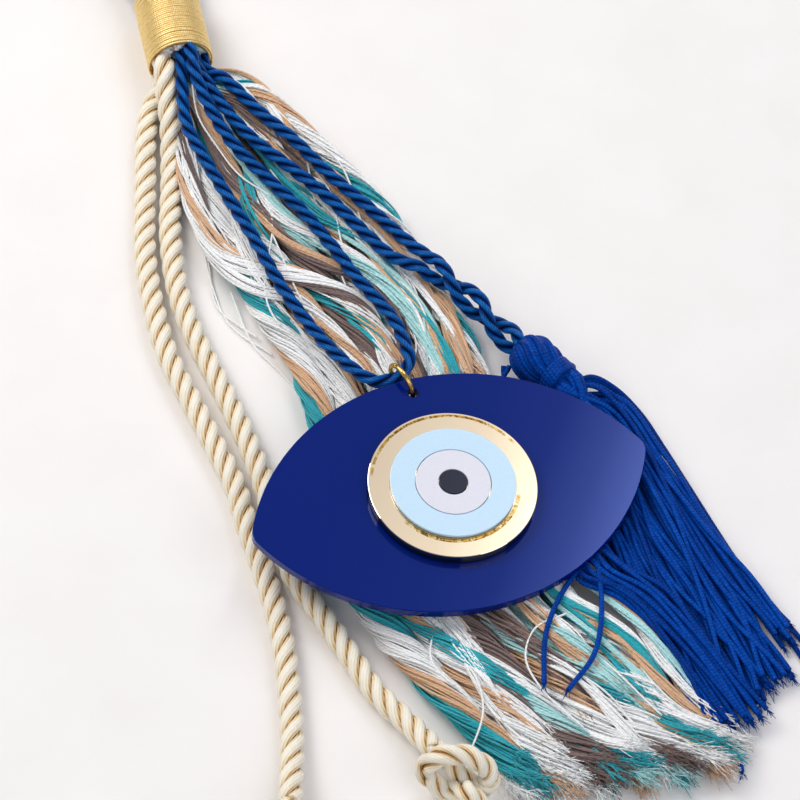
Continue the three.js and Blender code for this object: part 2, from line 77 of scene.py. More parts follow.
camera = bpy.data.objects.new("camera", bpy.data.cameras.new("camera"))
bpy.context.scene.collection.objects.link(camera)
camera.data.angle = CAMERA_FIELD
camera_reach = CAMERA_DISTANCE * math.cos(CAMERA_ELEVATION)
camera_height = CAMERA_DISTANCE * math.sin(CAMERA_ELEVATION)
look_from(camera, (CAMERA_AIM[0], CAMERA_AIM[1] - camera_reach, camera_height), CAMERA_AIM)
bpy.context.scene.camera = camera
bpy.context.scene.view_settings.view_transform = "Standard"


def add_node(material, kind, inputs=None, **settings):
    """Adds a shader node; inputs maps a socket's name or number to a value or to a socket to link from."""
    made = material.node_tree.nodes.new(kind)
    for name, value in settings.items():
        setattr(made, name, value)
    for name, value in (inputs or {}).items():
        if isinstance(value, bpy.types.NodeSocket):
            material.node_tree.links.new(value, made.inputs[name])
        else:
            made.inputs[name].default_value = value
    return made


def socket_name(word):
    return word.replace("_", " ").title().replace("Ior", "IOR")


def finish_of(name, **inputs):
    """A new material and its main shader, with the shader's own sockets set by name."""
    material = bpy.data.materials.new(name)
    material.use_nodes = True
    shader = material.node_tree.nodes["Principled BSDF"]
    for socket, value in inputs.items():
        shader.inputs[socket_name(socket)].default_value = value
    return material, shader


def drive(material, shader, **sources):
    """Links sources to the main shader's sockets."""
    for socket, source in sources.items():
        material.node_tree.links.new(source, shader.inputs[socket_name(socket)])


def grain(material, size, detail=2.0, distortion=0.0):
    """Noise whose patches are about that many millimetres across."""
    place = add_node(material, "ShaderNodeTexCoord").outputs["Object"]
    inputs = {"Vector": place, "Scale": 1 / (size * MM), "Detail": detail, "Distortion": distortion}
    return add_node(material, "ShaderNodeTexNoise", inputs).outputs[0]


# The table: painted plaster, matt and almost white, with faint trowel marks.
plaster, plaster_shader = finish_of("painted plaster", roughness=0.85)
plaster_marks = grain(plaster, 30, 5.0)
plaster_tone = add_node(plaster, "ShaderNodeValToRGB", {0: plaster_marks})
plaster_tone.color_ramp.elements[0].color = rgba("#EFECEA")
plaster_tone.color_ramp.elements[1].color = rgba("#F8F6F5")
plaster_bump = add_node(
    plaster, "ShaderNodeBump", {"Height": plaster_marks, "Strength": 0.15, "Distance": 0.001},
)
drive(plaster, plaster_shader, base_color=plaster_tone.outputs[0], normal=plaster_bump.outputs[0])
bpy.ops.mesh.primitive_plane_add(size=6)
table = bpy.context.object
table.name = "table"
table.data.materials.append(plaster)

# Soft studio light: a large lamp high on the left, weaker ones on the right and in front,
# and a bright soft box behind the tassel's side, which the polished faces mirror.
LAMPS = {
    "key": ((-620, 420, 900), 620, 8.0, "#FFFAF4"),
    "fill": ((700, -500, 800), 700, 2.6, "#F4F6FF"),
    "front": ((-250, -900, 700), 600, 1.8, "#FFFFFF"),
}
for name, (place, width, watts, colour) in LAMPS.items():
    lamp = bpy.data.objects.new(name, bpy.data.lights.new(name, "AREA"))
    lamp.data.size = width * MM
    lamp.data.energy = watts
    lamp.data.color = linear(colour)
    bpy.context.scene.collection.objects.link(lamp)
    look_from(lamp, place, (0, -40, 0))

world = bpy.data.worlds.new("studio")
world.use_nodes = True
world.node_tree.nodes["Background"].inputs["Color"].default_value = rgba("#E9EAF2")
world.node_tree.nodes["Background"].inputs["Strength"].default_value = 0.36
bpy.context.scene.world = world

# The soft box is a dim sheet with one bright band across it, sharp at one edge and fading at the other.
# The plate mirrors it near its right tip.
SOFT_BOX = ((265, 700, 1153), 900)
GLOW_STOPS = (
    (0.27, 0.03), (0.3, 1.0), (0.336, 0.86), (0.358, 0.42), (0.376, 0.56), (0.41, 0.26), (0.45, 0.1),
    (0.5, 0.066), (0.58, 0.05),
)
glow, glow_shader = finish_of("soft box", base_color=(0, 0, 0, 1), specular_ior_level=0.0)
glow_place = add_node(glow, "ShaderNodeTexCoord")
glow_split = add_node(glow, "ShaderNodeSeparateXYZ", {0: glow_place.outputs["Generated"]})
glow_fade = add_node(glow, "ShaderNodeValToRGB", {0: glow_split.outputs[0]})
for position, brightness in GLOW_STOPS:
    glow_fade.color_ramp.elements.new(position).color = (0.92 * brightness, 0.95 * brightness, brightness, 1)
glow_fade.color_ramp.elements[0].color = (0.03, 0.03, 0.03, 1)
glow_fade.color_ramp.elements[-1].color = (0.05, 0.046, 0.04, 1)
drive(glow, glow_shader, emission_color=glow_fade.outputs[0])
glow_shader.inputs["Emission Strength"].default_value = 15.0
bpy.ops.mesh.primitive_plane_add(size=SOFT_BOX[1] * MM)
soft_box = bpy.context.object
soft_box.name = "soft_box"
soft_box.data.materials.append(glow)
look_from(soft_box, SOFT_BOX[0], PLATE_CENTRE)

# ---- Cream ropes ----
# Two satin ropes of three plies laid to the right, each ply a bundle of fine viscose yarns.
# They leave the collar's mouth on the left and run side by side to their knots.
ROPE_DIAMETER = 7.2
ROPE_PITCH = 19.5
COLLAR_MOUTH = (-77.7, 81.5)
COLLAR_AXIS = (0.214, -0.977)
COLLAR_SIDE = (0.977, 0.214)


def mouth_point(side, height, out=0.3):
    """A point of the collar's mouth: across it, over the table, and past the mouth."""
    across = COLLAR_MOUTH[0] + COLLAR_SIDE[0] * side + COLLAR_AXIS[0] * out
    along = COLLAR_MOUTH[1] + COLLAR_SIDE[1] * side + COLLAR_AXIS[1] * out
    return (across, along, height)


def smooth_route(points, count=None, step=None):
    """A smooth line through the points, as evenly spaced ones: count of them, or one each step."""
    p = np.array(points, float)
    p = np.vstack([2 * p[0] - p[1], p, 2 * p[-1] - p[-2]])
    gaps = np.sqrt(np.linalg.norm(np.diff(p[:, :3], axis=0), axis=1))[:, None]
    a, b, c, d = p[:-3], p[1:-2], p[2:-1], p[3:]
    g0, g1, g2 = gaps[:-2], gaps[1:-1], gaps[2:]
    leave = ((b - a) / g0 - (c - a) / (g0 + g1) + (c - b) / g1) * g1
    arrive = ((c - b) / g1 - (d - b) / (g1 + g2) + (d - c) / g2) * g1
    t = np.linspace(0, 1, 40, endpoint=False)[None, :, None]
    b, c, leave, arrive = (x[:, None] for x in (b, c, leave, arrive))
    line = b + leave * t + (3 * (c - b) - 2 * leave - arrive) * t**2
    line = line + (2 * (b - c) + leave + arrive) * t**3
    line = np.vstack([line.reshape(-1, p.shape[1]), p[-2]])
    run = np.append(0, np.cumsum(np.linalg.norm(np.diff(line[:, :3], axis=0), axis=1)))
    stops = np.linspace(0, run[-1], count or max(2, round(run[-1] / step) + 1))
    return np.stack([np.interp(stops, run, x) for x in line.T], axis=1)


def unit(vectors):
    return vectors / np.linalg.norm(vectors, axis=-1, keepdims=True)


def axes_along(routes, reference=(0, 0, 1)):
    """Each point's direction across and up, for routes of shape (..., steps, 3)."""
    ahead = unit(np.gradient(routes, axis=-2))
    across = unit(np.cross(np.broadcast_to(reference, ahead.shape), ahead))
    return across, np.cross(ahead, across)


def tubes(routes, radius, sides, reference=(0, 0, 1)):
    """Closed tubes round routes of shape (count, steps, 3), as points, quads, end caps and coordinates.

    radius is a number, or an array that fits (count, steps, sides). The coordinates of a point are
    millimetres along its tube, its share of the way round, and its tube's number.
    """
    routes = np.asarray(routes, float)
    count, steps = routes.shape[:2]
    across, up = (x[:, :, None] for x in axes_along(routes, reference))
    around = np.arange(sides) / sides
    angle = 2 * np.pi * around[:, None]
    outward = across * np.cos(angle) + up * np.sin(angle)
    radius = np.broadcast_to(radius, (count, steps, sides))[..., None]
    points = (routes[:, :, None] + outward * radius).reshape(-1, 3)
    run = np.linalg.norm(np.diff(routes, axis=1), axis=2).cumsum(axis=1)
    run = np.pad(run, ((0, 0), (1, 0)))
    shape = (count, steps, sides)
    coordinates = np.stack(
        [
            np.broadcast_to(run[:, :, None], shape),
            np.broadcast_to(around, shape),
            np.broadcast_to(np.arange(count)[:, None, None], shape),
        ],
        axis=-1,
    ).reshape(-1, 3)
    index = np.arange(count * steps * sides).reshape(shape)
    here, there = index[:, :-1], index[:, 1:]
    quads = np.stack([here, np.roll(here, -1, 2), np.roll(there, -1, 2), there], axis=-1)
    caps = np.concatenate([index[:, 0, ::-1], index[:, -1]])
    return points, quads.reshape(-1, 4), caps, coordinates


def piece_of(name, solids, material, body, slot, replaces=(), smooth=True, **attributes):
    """One object from solids, each (points, quads, caps, coordinates), riding on a body.

    An attribute is a colour or vector for every point of all the solids in turn.
    """
    points, corners, sizes, coordinates, start = [], [], [], [], 0
    for solid_points, *polygons, solid_coordinates in solids:
        points.append(solid_points)
        coordinates.append(solid_coordinates)
        for group in polygons:
            corners.append((group + start).ravel())
            sizes.append(np.full(len(group), group.shape[1]))
        start += len(solid_points)
    corners, sizes = np.concatenate(corners), np.concatenate(sizes)
    mesh = bpy.data.meshes.new(name)
    mesh.vertices.add(start)
    mesh.vertices.foreach_set("co", placed(np.vstack(points)).astype(np.float32).ravel())
    mesh.loops.add(len(corners))
    mesh.loops.foreach_set("vertex_index", corners.astype(np.int32))
    mesh.polygons.add(len(sizes))
    mesh.polygons.foreach_set("loop_start", np.append(0, sizes.cumsum()[:-1]).astype(np.int32))
    mesh.polygons.foreach_set("use_smooth", np.full(len(sizes), smooth))
    mesh.update(calc_edges=True)
    attributes["thread"] = np.vstack(coordinates)
    for label, values in attributes.items():
        kind, field = ("FLOAT_COLOR", "color") if values.shape[1] == 4 else ("FLOAT_VECTOR", "vector")
        layer = mesh.attributes.new(label, kind, "POINT")
        layer.data.foreach_set(field, values.astype(np.float32).ravel())
    mesh.materials.append(material)
    made = bpy.data.objects.new(name, mesh)
    bpy.context.scene.collection.objects.link(made)
    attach(made, body)
    if replaces:
        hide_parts(*replaces)
    return made


def laid_rope(route, diameter, pitch, hand, step, lobes, sides, start=0.0):
    """Three plies twisted round a route. hand is 1 for one lay and -1 for the other.

    Each ply's section has lobes for its yarns, which twist back the other way.
    Returns the tubes, and for every point how far it stands out of the grooves, from 0 to 1, from which the
    satin finish paints shade into the grooves.
    """
    line = smooth_route(route, step=step)
    across, up = axes_along(line)
    run = np.arange(len(line)) * step
    ply_radius = 0.238 * diameter
    centre_radius = diameter / 2 - ply_radius
    turn = hand * 2 * np.pi * run / pitch + start
    plies = []
    for ply in range(3):
        angle = (turn + 2 * np.pi * ply / 3)[:, None]
        plies.append(line + centre_radius * (across * np.cos(angle) + up * np.sin(angle)))
    around = 2 * np.pi * np.arange(sides) / sides
    yarn_turn = around[None, :] + hand * 2 * np.pi * run[:, None] / (0.55 * pitch)
    ridge = np.abs(np.cos(0.5 * lobes * yarn_turn))
    radius = ply_radius * (0.93 + 0.11 * ridge)
    solid = tubes(plies, radius[None], sides)
    points = solid[0].reshape(3, len(line), sides, 3)
    out = np.linalg.norm(points - line[None, :, None], axis=-1)
    depth = np.clip((out / (diameter / 2) - 0.5) / 0.46, 0, 1)
    shade = np.stack([depth, np.broadcast_to(ridge, depth.shape), 0 * depth], axis=-1)
    return solid, shade.reshape(-1, 3), line


def weighted(material, base, value, weight):
    """The base plus a value times its weight. Each is a socket or a number."""
    return add_node(
        material, "ShaderNodeMath", {0: value, 1: weight, 2: base}, operation="MULTIPLY_ADD"
    ).outputs[0]


def part_of(material, attribute, number):
    """One number of a mesh attribute."""
    found = add_node(material, "ShaderNodeAttribute", attribute_name=attribute)
    return add_node(material, "ShaderNodeSeparateXYZ", {0: found.outputs["Vector"]}).outputs[number]


def ridges(material, per_turn, per_mm):
    """Fine lines wound round a tube: so many for each turn round it, and so many for each mm along it."""
    phase = weighted(material, 0.0, part_of(material, "thread", 1), 2 * math.pi * per_turn)
    phase = weighted(material, phase, part_of(material, "thread", 0), 2 * math.pi * per_mm)
    return add_node(material, "ShaderNodeMath", {0: phase}, operation="SINE").outputs[0]


def bumped(material, shader, height, depth, strength=0.6):
    """Raises the surface by the height given, times a depth in mm."""
    bump = add_node(
        material, "ShaderNodeBump", {"Height": height, "Strength": strength, "Distance": depth * MM}
    )
    drive(material, shader, normal=bump.outputs[0])


def toned(material, shader, value, *stops):
    """Colours the surface by a value, from (position, hex colour) stops."""
    tone = add_node(material, "ShaderNodeValToRGB", {0: value})
    ramp = tone.color_ramp.elements
    for place, (position, colour) in enumerate(stops):
        stop = ramp[place] if place < 2 else ramp.new(position)
        stop.position = position
        stop.color = rgba(colour)
    drive(material, shader, base_color=tone.outputs[0])
    return tone


def satin_finish(name, stops, roughness, sheen, lines, gloss=0.5, tint="#FFFFFF"):
    """Twisted viscose with painted light: painted shade darkens the grooves and a painted highlight runs
    along the crest of each ply and yarn lobe, with fine yarn lines.

    gloss and tint are the strength and colour of its reflections.
    """
    material, shader = finish_of(
        name, roughness=roughness, sheen_weight=sheen, sheen_roughness=0.35, specular_ior_level=gloss,
        specular_tint=rgba(tint),
    )
    value = weighted(material, -0.2, part_of(material, "shade", 0), 0.8)
    value = weighted(material, value, part_of(material, "shade", 1), 0.3)
    value = weighted(material, value, grain(material, 1.6, 3.0), 0.24)
    toned(material, shader, value, *stops)
    bumped(material, shader, ridges(material, lines, 0.35), 0.07)
    return material


# The stops run from painted shade, dark brown, deep in the grooves to a painted highlight, near white, on
# the crests.
CREAM_SHADE_AND_HIGHLIGHT_STOPS = (
    (0.0, "#65400F"), (0.94, "#FFFBEE"), (0.3, "#A97632"), (0.53, "#E5C48C"), (0.74, "#F9E8C4"),
)
cream_satin = satin_finish("cream satin viscose", CREAM_SHADE_AND_HIGHLIGHT_STOPS, 0.42, 0.3, 24)
ROPE_ROUTES = {
    "left": [
        mouth_point(-6.6, 6.4, -5), mouth_point(-6.6, 6.4, 4), (-87.2, 68.0, 4.4), (-88.4, 56.0, 3.8),
        (-88.0, 41.3, 3.7), (-86.9, 11.8, 3.75), (-83.7, -7.6, 3.75), (-78.5, -26.6, 3.75),
        (-70.6, -43.8, 3.75), (-62.7, -60.7, 3.75), (-57.0, -73.5, 3.75), (-53.5, -86.5, 3.75),
        (-49.0, -100.0, 3.75), (-45.0, -113.3, 3.75), (-41.8, -127.8, 3.75), (-39.4, -147.9, 3.75),
        (-38.6, -164.5, 4.6), (-38.8, -182.0, 8.2),
    ],
    "right": [
        mouth_point(-5.8, 13.6, -5), mouth_point(-5.8, 13.4, 4), (-81.8, 69.0, 10.6), (-80.6, 61.0, 8.0),
        (-80.0, 51.0, 5.0), (-79.6, 38.0, 3.8), (-79.3, 19.0, 3.7), (-76.2, -2.0, 3.75),
        (-70.4, -19.5, 3.75), (-62.9, -36.0, 3.75), (-54.9, -54.5, 3.75), (-47.6, -75.3, 3.75),
        (-43.6, -92.0, 3.75), (-38.6, -105.4, 3.75), (-31.0, -117.4, 3.75), (-22.4, -131.6, 3.75),
        (-14.6, -144.0, 3.75), (-5.0, -155.0, 5.0), (2.0, -164.8, 8.0),
    ],
}


# Each rope ends in a drawn-up overhand knot, and its plies come open past it in a short tail.
# The knot's route is given along the rope, to its side, and up, from the knot's middle.
KNOT_RADIUS = 10.0
KNOT_LENGTH = 20.0
KNOT_ROPE = 6.3  # the rope is squeezed in the knot
KNOT_ROUTE = [
    (-11.5, 0.2, -2.0), (-6.0, 0.8, -1.2), (0.5, 1.4, -2.2), (5.4, 2.9, -3.6), (7.0, 6.0, -1.0),
    (4.2, 6.6, 3.2), (-0.6, 3.4, 6.3), (-4.6, -2.2, 6.2), (-6.2, -6.3, 2.0), (-4.4, -6.4, -2.8),
    (0.2, -3.6, -5.4), (4.0, -1.6, -1.8), (7.6, -1.4, 1.6), (11.0, -0.4, -1.6), (14.0, 0.0, -4.6),
]
TAIL_LENGTH = 9.5
TAIL_FIBRES = 42
dice = np.random.default_rng(7)


def flared(start, ahead, up, length, count, spread, fall, steps=7):
    """Fibres that leave a cut end and open into a brush, kept above the table."""
    t = np.linspace(0, 1, steps)[None, :, None]
    angle = dice.uniform(0, 2 * np.pi, (count, 1, 1))
    lean = spread * np.sqrt(dice.uniform(0.02, 1, (count, 1, 1)))
    reach = length * dice.uniform(0.75, 1.08, (count, 1, 1))
    side = np.cross(up, ahead)
    outward = side * np.cos(angle) + up * np.sin(angle)
    routes = start + outward * lean * (0.22 + 0.78 * t**1.4) + ahead * reach * t
    routes = routes - np.array([0, 0, 1]) * fall * t**2
    routes[..., 2] = np.maximum(routes[..., 2], 0.35)
    return routes


for side, route in ROPE_ROUTES.items():
    solid, shade, line = laid_rope(route, ROPE_DIAMETER, ROPE_PITCH, 1, 0.75, 11, 44)
    rope = piece_of(
        "cream_rope_" + side + "_laid", [solid], cream_satin, "bundle", "cream_satin",
        ["cream_rope_" + side], shade=shade,
    )
    ahead = unit((np.array(route[-1]) - np.array(route[-2])) * (1, 1, 0))
    level = np.array([-ahead[1], ahead[0], 0.0])
    middle = np.array(route[-1]) + ahead * (0.6 + KNOT_LENGTH / 2)
    middle[2] = KNOT_RADIUS
    frame_axes = np.stack([ahead, level, (0, 0, 1)])
    knot_route = middle + np.array(KNOT_ROUTE) @ frame_axes
    solid, shade, knot_line = laid_rope(knot_route, KNOT_ROPE, ROPE_PITCH, 1, 0.6, 11, 44)
    knot = piece_of(
        "cream_knot_" + side + "_tied", [solid], cream_satin, "bundle", "cream_satin",
        ["cream_knot_" + side], shade=shade,
    )
    tail_start = knot_line[-1] - ahead * 1.5
    fibres = flared(tail_start, ahead, np.array([0, 0, 1.0]), TAIL_LENGTH, TAIL_FIBRES, 4.4, 3.4)
    solid = tubes(fibres, 0.42, 6)
    shade = np.tile((0.75, 0.7, 0.0), (len(solid[0]), 1))
    tail = piece_of(
        "cream_tail_" + side + "_frayed", [solid], cream_satin, "bundle", "cream_satin",
        ["cream_tail_" + side], shade=shade,
    )

# ---- Blue cords ----
# Satin cord of three plies laid the other way. One length carries the eye: it runs out of the
# collar, through the jump ring and back. Two more run side by side and twist into the tassel's head.
CORD_DIAMETER = 4.2
CORD_PITCH = 18.5
PLATE_TURN = math.radians(18.5)
PLATE_LEAN = math.radians(5.5)
HOLE_OFFSET = 35.5
RING_RADIUS = 5.75  # to the middle of the wire
RING_DIRECTION = np.array([-0.567, 0.824, 0.0])
CORD_BEND = 8.4
CORD_BEND_DROP = 0.6
CORD_PAST_RING = 2.5
PLATE_AXES = np.array(
    [
        (
            math.cos(PLATE_TURN) * math.cos(PLATE_LEAN), math.sin(PLATE_TURN),
            -math.cos(PLATE_TURN) * math.sin(PLATE_LEAN),
        ),
        (
            -math.sin(PLATE_TURN) * math.cos(PLATE_LEAN), math.cos(PLATE_TURN),
            math.sin(PLATE_TURN) * math.sin(PLATE_LEAN),
        ),
        (math.sin(PLATE_LEAN), 0.0, math.cos(PLATE_LEAN)),
    ]
)


def on_plate(points):
    """Points given along the plate, across it and off its middle plane, on the layout."""
    return PLATE_CENTRE + np.asarray(points, float) @ PLATE_AXES


hole_centre = on_plate((0, HOLE_OFFSET, 0))
ring_centre = hole_centre + RING_DIRECTION * RING_RADIUS
bend_centre = ring_centre + RING_DIRECTION * (CORD_PAST_RING + CORD_BEND)
ring_heading = math.degrees(math.atan2(-RING_DIRECTION[0], RING_DIRECTION[1]))


def bend_point(turned_by):
    angle = math.radians(ring_heading + turned_by)
    return (
        bend_centre[0] + CORD_BEND * math.sin(angle), bend_centre[1] - CORD_BEND * math.cos(angle),
        hole_centre[2] - CORD_BEND_DROP * abs(turned_by) / 80,
    )


PENDANT_ROUTE = [
    mouth_point(-0.2, 15.4, -5),
    mouth_point(-0.2, 15.2, 4),
    (-76.8, 70.0, 14.2),
    (-75.0, 55.6, 13.0),
    (-69.1, 42.4, 12.6),
    (-60.8, 26.4, 12.6),
    (-53.1, 11.8, 12.6),
    (-45.2, -4.8, 12.6),
    (-36.6, -19.6, 12.8),
    (-28.4, -31.4, 13.8),
    *(bend_point(turned_by) for turned_by in (-84.5, -49.5, -14.5, 20.5, 55.5, 81.5)),
    (-8.6, -23.4, 14.6),
    (-13.0, -15.0, 13.2),
    (-21.3, -3.4, 12.6),
    (-29.1, 8.8, 12.6),
    (-38.6, 22.4, 12.6),
    (-49.2, 34.4, 12.8),
    (-60.6, 48.0, 13.8),
    (-69.0, 63.0, 15.8),
    (-73.2, 74.5, 18.0),
    mouth_point(3.2, 18.4, 4),
    mouth_point(3.2, 18.4, -5),
]
HEAD_CENTRE = np.array([33.0, -30.8, 7.9])
HEAD_RADIUS = 7.6
TASSEL_AXIS = unit(np.array([0.722, -0.692, 0.0]))
PAIR_RADIUS = 2.5
PAIR_TURNS = 1.25
pair_axis = smooth_route(
    [
        (0.5, 1.0, 13.4), (7.0, -5.0, 12.8), (14.4, -11.8, 11.0), (20.8, -18.6, 9.0),
        HEAD_CENTRE - TASSEL_AXIS * (HEAD_RADIUS - 1.5),
    ],
    count=15,
)


def pair_route(phase):
    """One cord of the twisted pair. The two start opposite each other, half a turn apart in phase."""
    across, up = axes_along(pair_axis)
    angle = 2 * np.pi * (PAIR_TURNS * np.linspace(0, 1, len(pair_axis)) + phase)[:, None]
    return pair_axis + PAIR_RADIUS * (across * np.cos(angle) + up * np.sin(angle))


TASSEL_CORD_ROUTES = {
    "left": [
        mouth_point(4.4, 13.9, -5), mouth_point(4.4, 13.9, 4), (-69.4, 72.4, 13.8), (-63.0, 61.4, 13.4),
        (-53.6, 49.2, 13.0), (-42.9, 39.6, 12.6), (-30.8, 27.8, 12.6), (-19.2, 14.0, 12.6),
        (-10.6, 4.6, 12.6), *pair_route(0.5),
    ],
    "right": [
        mouth_point(7.4, 10.4, -5), mouth_point(7.6, 10.6, 4), (-64.0, 74.6, 12.6), (-52.7, 61.4, 12.6),
        (-41.5, 50.0, 12.6), (-30.7, 37.0, 12.6), (-19.8, 25.6, 12.6), (-9.6, 14.4, 12.6),
        (-3.4, 8.0, 12.6), *pair_route(0.0),
    ],
}
BLUE_SHADE_AND_HIGHLIGHT_STOPS = (
    (0.0, "#00061C"), (1.0, "#1E74C6"), (0.38, "#001A4A"), (0.64, "#002E6C"), (0.85, "#00448C"),
)
# Blue satin: its gloss is weak and tinted blue, so the crests stay blue. Its stops paint shade into the
# grooves, nearly black, and a painted highlight, light blue, along the crests.
blue_satin = satin_finish("blue satin viscose", BLUE_SHADE_AND_HIGHLIGHT_STOPS, 0.3, 0.0, 16, 0.28, "#6FA0FF")
BLUE_CORDS = {
    "pendant_cord": (PENDANT_ROUTE, mouth_point(-0.2, 15.4)),
    "tassel_cord_left": (TASSEL_CORD_ROUTES["left"], mouth_point(4.4, 13.9)),
    "tassel_cord_right": (TASSEL_CORD_ROUTES["right"], mouth_point(7.4, 10.4)),
}
for name, (route, exit_point) in BLUE_CORDS.items():
    solid, shade, line = laid_rope(route, CORD_DIAMETER, CORD_PITCH, -1, 0.6, 8, 24)
    blue_cord = piece_of(
        name + "_laid", [solid], blue_satin, "bundle", "blue_satin", [name], shade=shade
    )

# ---- Yarn ----
# Six locks of loose cotton threads of mixed colours, gripped by the collar. In each lock the threads
# lie in five strands that twist round each other. Their ends are cut and come open.
THREAD_RADIUS = 0.33
THREAD_SIDES = 4
YARN_STEP = 1.6
THREADS = 172
YARN_COLOURS = {
    "white": "#FBFDFD", "tan": "#DDB48E", "brown": "#7C6762", "aqua": "#B6E7E8", "teal": "#0DAAB8",
}
# A lock: where it leaves the mouth, its strands' colours, its slot, and rows of
# x, y, half its width, half its height, and its underside's height.
YARN_LOCKS = {
    "teal_left": (
        (-1.2, 5.8), ("teal", "white", "white", "tan", "teal"), "teal_yarn",
        [
            (-72.0, 62.0, 2.6, 2.6, 0.2), (-68.0, 41.0, 3.3, 3.6, 0.0), (-62.0, 19.0, 3.9, 4.4, 0.0),
            (-50.5, -7.0, 4.2, 4.4, 0.0), (-37.0, -31.0, 4.3, 4.4, 0.0), (-30.0, -58.0, 4.4, 4.6, 0.0),
            (-29.0, -88.0, 4.8, 4.8, 0.0), (-18.4, -113.2, 4.2, 5.0, 0.0), (-1.0, -137.8, 4.4, 5.0, 0.0),
            (18.5, -160.5, 3.9, 4.6, 0.0), (27.0, -171.5, 3.9, 4.4, 0.0),
        ],
    ),
    "white_left": (
        (-1.8, 9.6), ("white", "tan", "white", "white", "tan"), "white_yarn",
        [
            (-69.5, 64.0, 2.6, 2.6, 5.6), (-61.0, 42.0, 3.3, 3.6, 1.6), (-53.5, 20.5, 3.9, 4.4, 0.0),
            (-42.0, -2.0, 4.2, 4.4, 0.0), (-28.5, -26.5, 4.3, 4.4, 0.0), (-20.5, -55.5, 4.4, 4.6, 0.0),
            (-18.0, -86.0, 5.0, 4.8, 0.0), (-7.2, -112.6, 4.2, 5.0, 0.0), (10.6, -137.6, 4.4, 5.0, 0.0),
            (28.8, -159.1, 3.9, 4.6, 0.0), (37.7, -169.7, 3.9, 4.4, 0.0),
        ],
    ),
    "brown": (
        (2.4, 4.6), ("brown", "brown", "white", "aqua", "brown"), "brown_yarn",
        [
            (-65.6, 66.0, 2.6, 2.6, 0.2), (-54.5, 45.5, 3.3, 3.6, 0.0), (-45.0, 24.5, 3.9, 4.4, 0.0),
            (-33.5, 3.0, 4.2, 4.4, 0.0), (-20.0, -21.5, 4.3, 4.4, 0.0), (-11.0, -52.5, 4.4, 4.6, 0.0),
            (-6.5, -84.0, 5.0, 4.8, 0.0), (4.0, -112.0, 4.2, 5.0, 0.0), (22.2, -137.4, 4.4, 5.0, 0.0),
            (39.1, -157.7, 3.9, 4.6, 0.0), (48.4, -167.9, 3.9, 4.4, 0.0),
        ],
    ),
    "white_right": (
        (2.0, 8.4), ("white", "white", "teal", "aqua", "tan"), "white_yarn",
        [
            (-61.6, 69.0, 2.4, 2.4, 6.0), (-47.8, 50.0, 3.3, 3.6, 2.0), (-36.6, 29.0, 3.9, 4.4, 0.0),
            (-25.0, 7.5, 4.2, 4.4, 0.0), (-11.5, -17.0, 4.3, 4.4, 0.0), (-1.5, -49.0, 4.4, 4.6, 0.0),
            (5.5, -82.0, 5.0, 4.8, 0.0), (15.2, -111.4, 4.2, 5.0, 0.0), (33.8, -137.2, 4.4, 5.0, 0.0),
            (49.4, -156.3, 3.9, 4.6, 0.0), (59.1, -166.1, 3.9, 4.4, 0.0),
        ],
    ),
    "aqua": (
        (5.6, 2.8), ("aqua", "teal", "white", "white", "brown"), "aqua_yarn",
        [
            (-58.2, 71.0, 2.6, 2.6, 0.2), (-42.0, 52.5, 3.3, 3.6, 0.0), (-28.5, 32.5, 3.9, 4.4, 0.0),
            (-16.5, 12.0, 4.2, 4.4, 0.0), (-3.0, -12.5, 4.3, 4.4, 0.0), (8.0, -45.0, 4.4, 4.6, 0.0),
            (17.5, -79.0, 4.6, 4.6, 0.0), (26.4, -110.8, 4.2, 4.8, 0.0), (45.4, -137.1, 4.4, 4.8, 0.0),
            (59.7, -154.9, 3.9, 4.6, 0.0), (69.8, -164.3, 3.9, 4.4, 0.0),
        ],
    ),
    "tan_right": (
        (5.8, 6.2), ("tan", "white", "white", "teal", "white"), "tan_yarn",
        [
            (-54.0, 73.5, 2.6, 2.6, 4.6), (-36.0, 56.0, 3.3, 3.6, 0.6), (-20.5, 36.5, 3.9, 4.2, 0.0),
            (-8.0, 16.5, 4.2, 4.2, 0.0), (5.5, -8.0, 4.3, 4.0, 0.0), (17.0, -41.0, 4.2, 3.8, 0.0),
            (29.0, -76.0, 4.2, 4.0, 0.0), (37.6, -110.2, 4.0, 4.4, 0.0), (57.0, -137.0, 4.2, 4.6, 0.0),
            (70.0, -153.5, 3.9, 4.4, 0.0), (80.5, -162.5, 3.9, 4.2, 0.0),
        ],
    ),
}


def smooth_step(values, low, high):
    t = np.clip((values - low) / (high - low), 0, 1)
    return t * t * (3 - 2 * t)


def waves(count, run, size, shortest, longest):
    """A slow random wander for each of count threads, as (count, steps)."""
    total = 0
    for _ in range(3):
        length = dice.uniform(shortest, longest, (count, 1))
        total = total + np.sin(2 * np.pi * (run / length + dice.uniform(0, 1, (count, 1))))
    return size * total / 1.7


def hank(line, half_wide, half_tall, count, strands, pitch, wander=0.06):
    """Threads that fill an oval section along a line, in strands that twist round each other.

    Returns routes of shape (count, steps, 3) and the number of the strand that each thread is in.
    """
    run = np.append(0, np.cumsum(np.linalg.norm(np.diff(line, axis=0), axis=1)))
    strand = np.arange(count) % strands
    turn = -2 * np.pi * (run / pitch)[None, :]
    heading = turn + 2 * np.pi * (strand / strands)[:, None] + 0.5 * waves(1, run, 1.0, 60, 120)
    inner = dice.uniform(0, 2 * np.pi, (count, 1)) + turn
    reach = 0.46 * np.sqrt(dice.uniform(0, 1, (count, 1)))
    centre = 0.0 if strands == 1 else 0.54
    reach = reach * (2.1 if strands == 1 else 1)
    u = centre * np.cos(heading) + reach * np.cos(inner) + waves(count, run, wander, 16, 60)
    v = centre * np.sin(heading) + reach * np.sin(inner) + waves(count, run, 0.6 * wander, 16, 60)
    across, up = axes_along(line)
    sideways = across * np.broadcast_to(half_wide, len(line))[:, None]
    upwards = up * np.broadcast_to(half_tall, len(line))[:, None]
    return line + u[..., None] * sideways + v[..., None] * upwards, strand


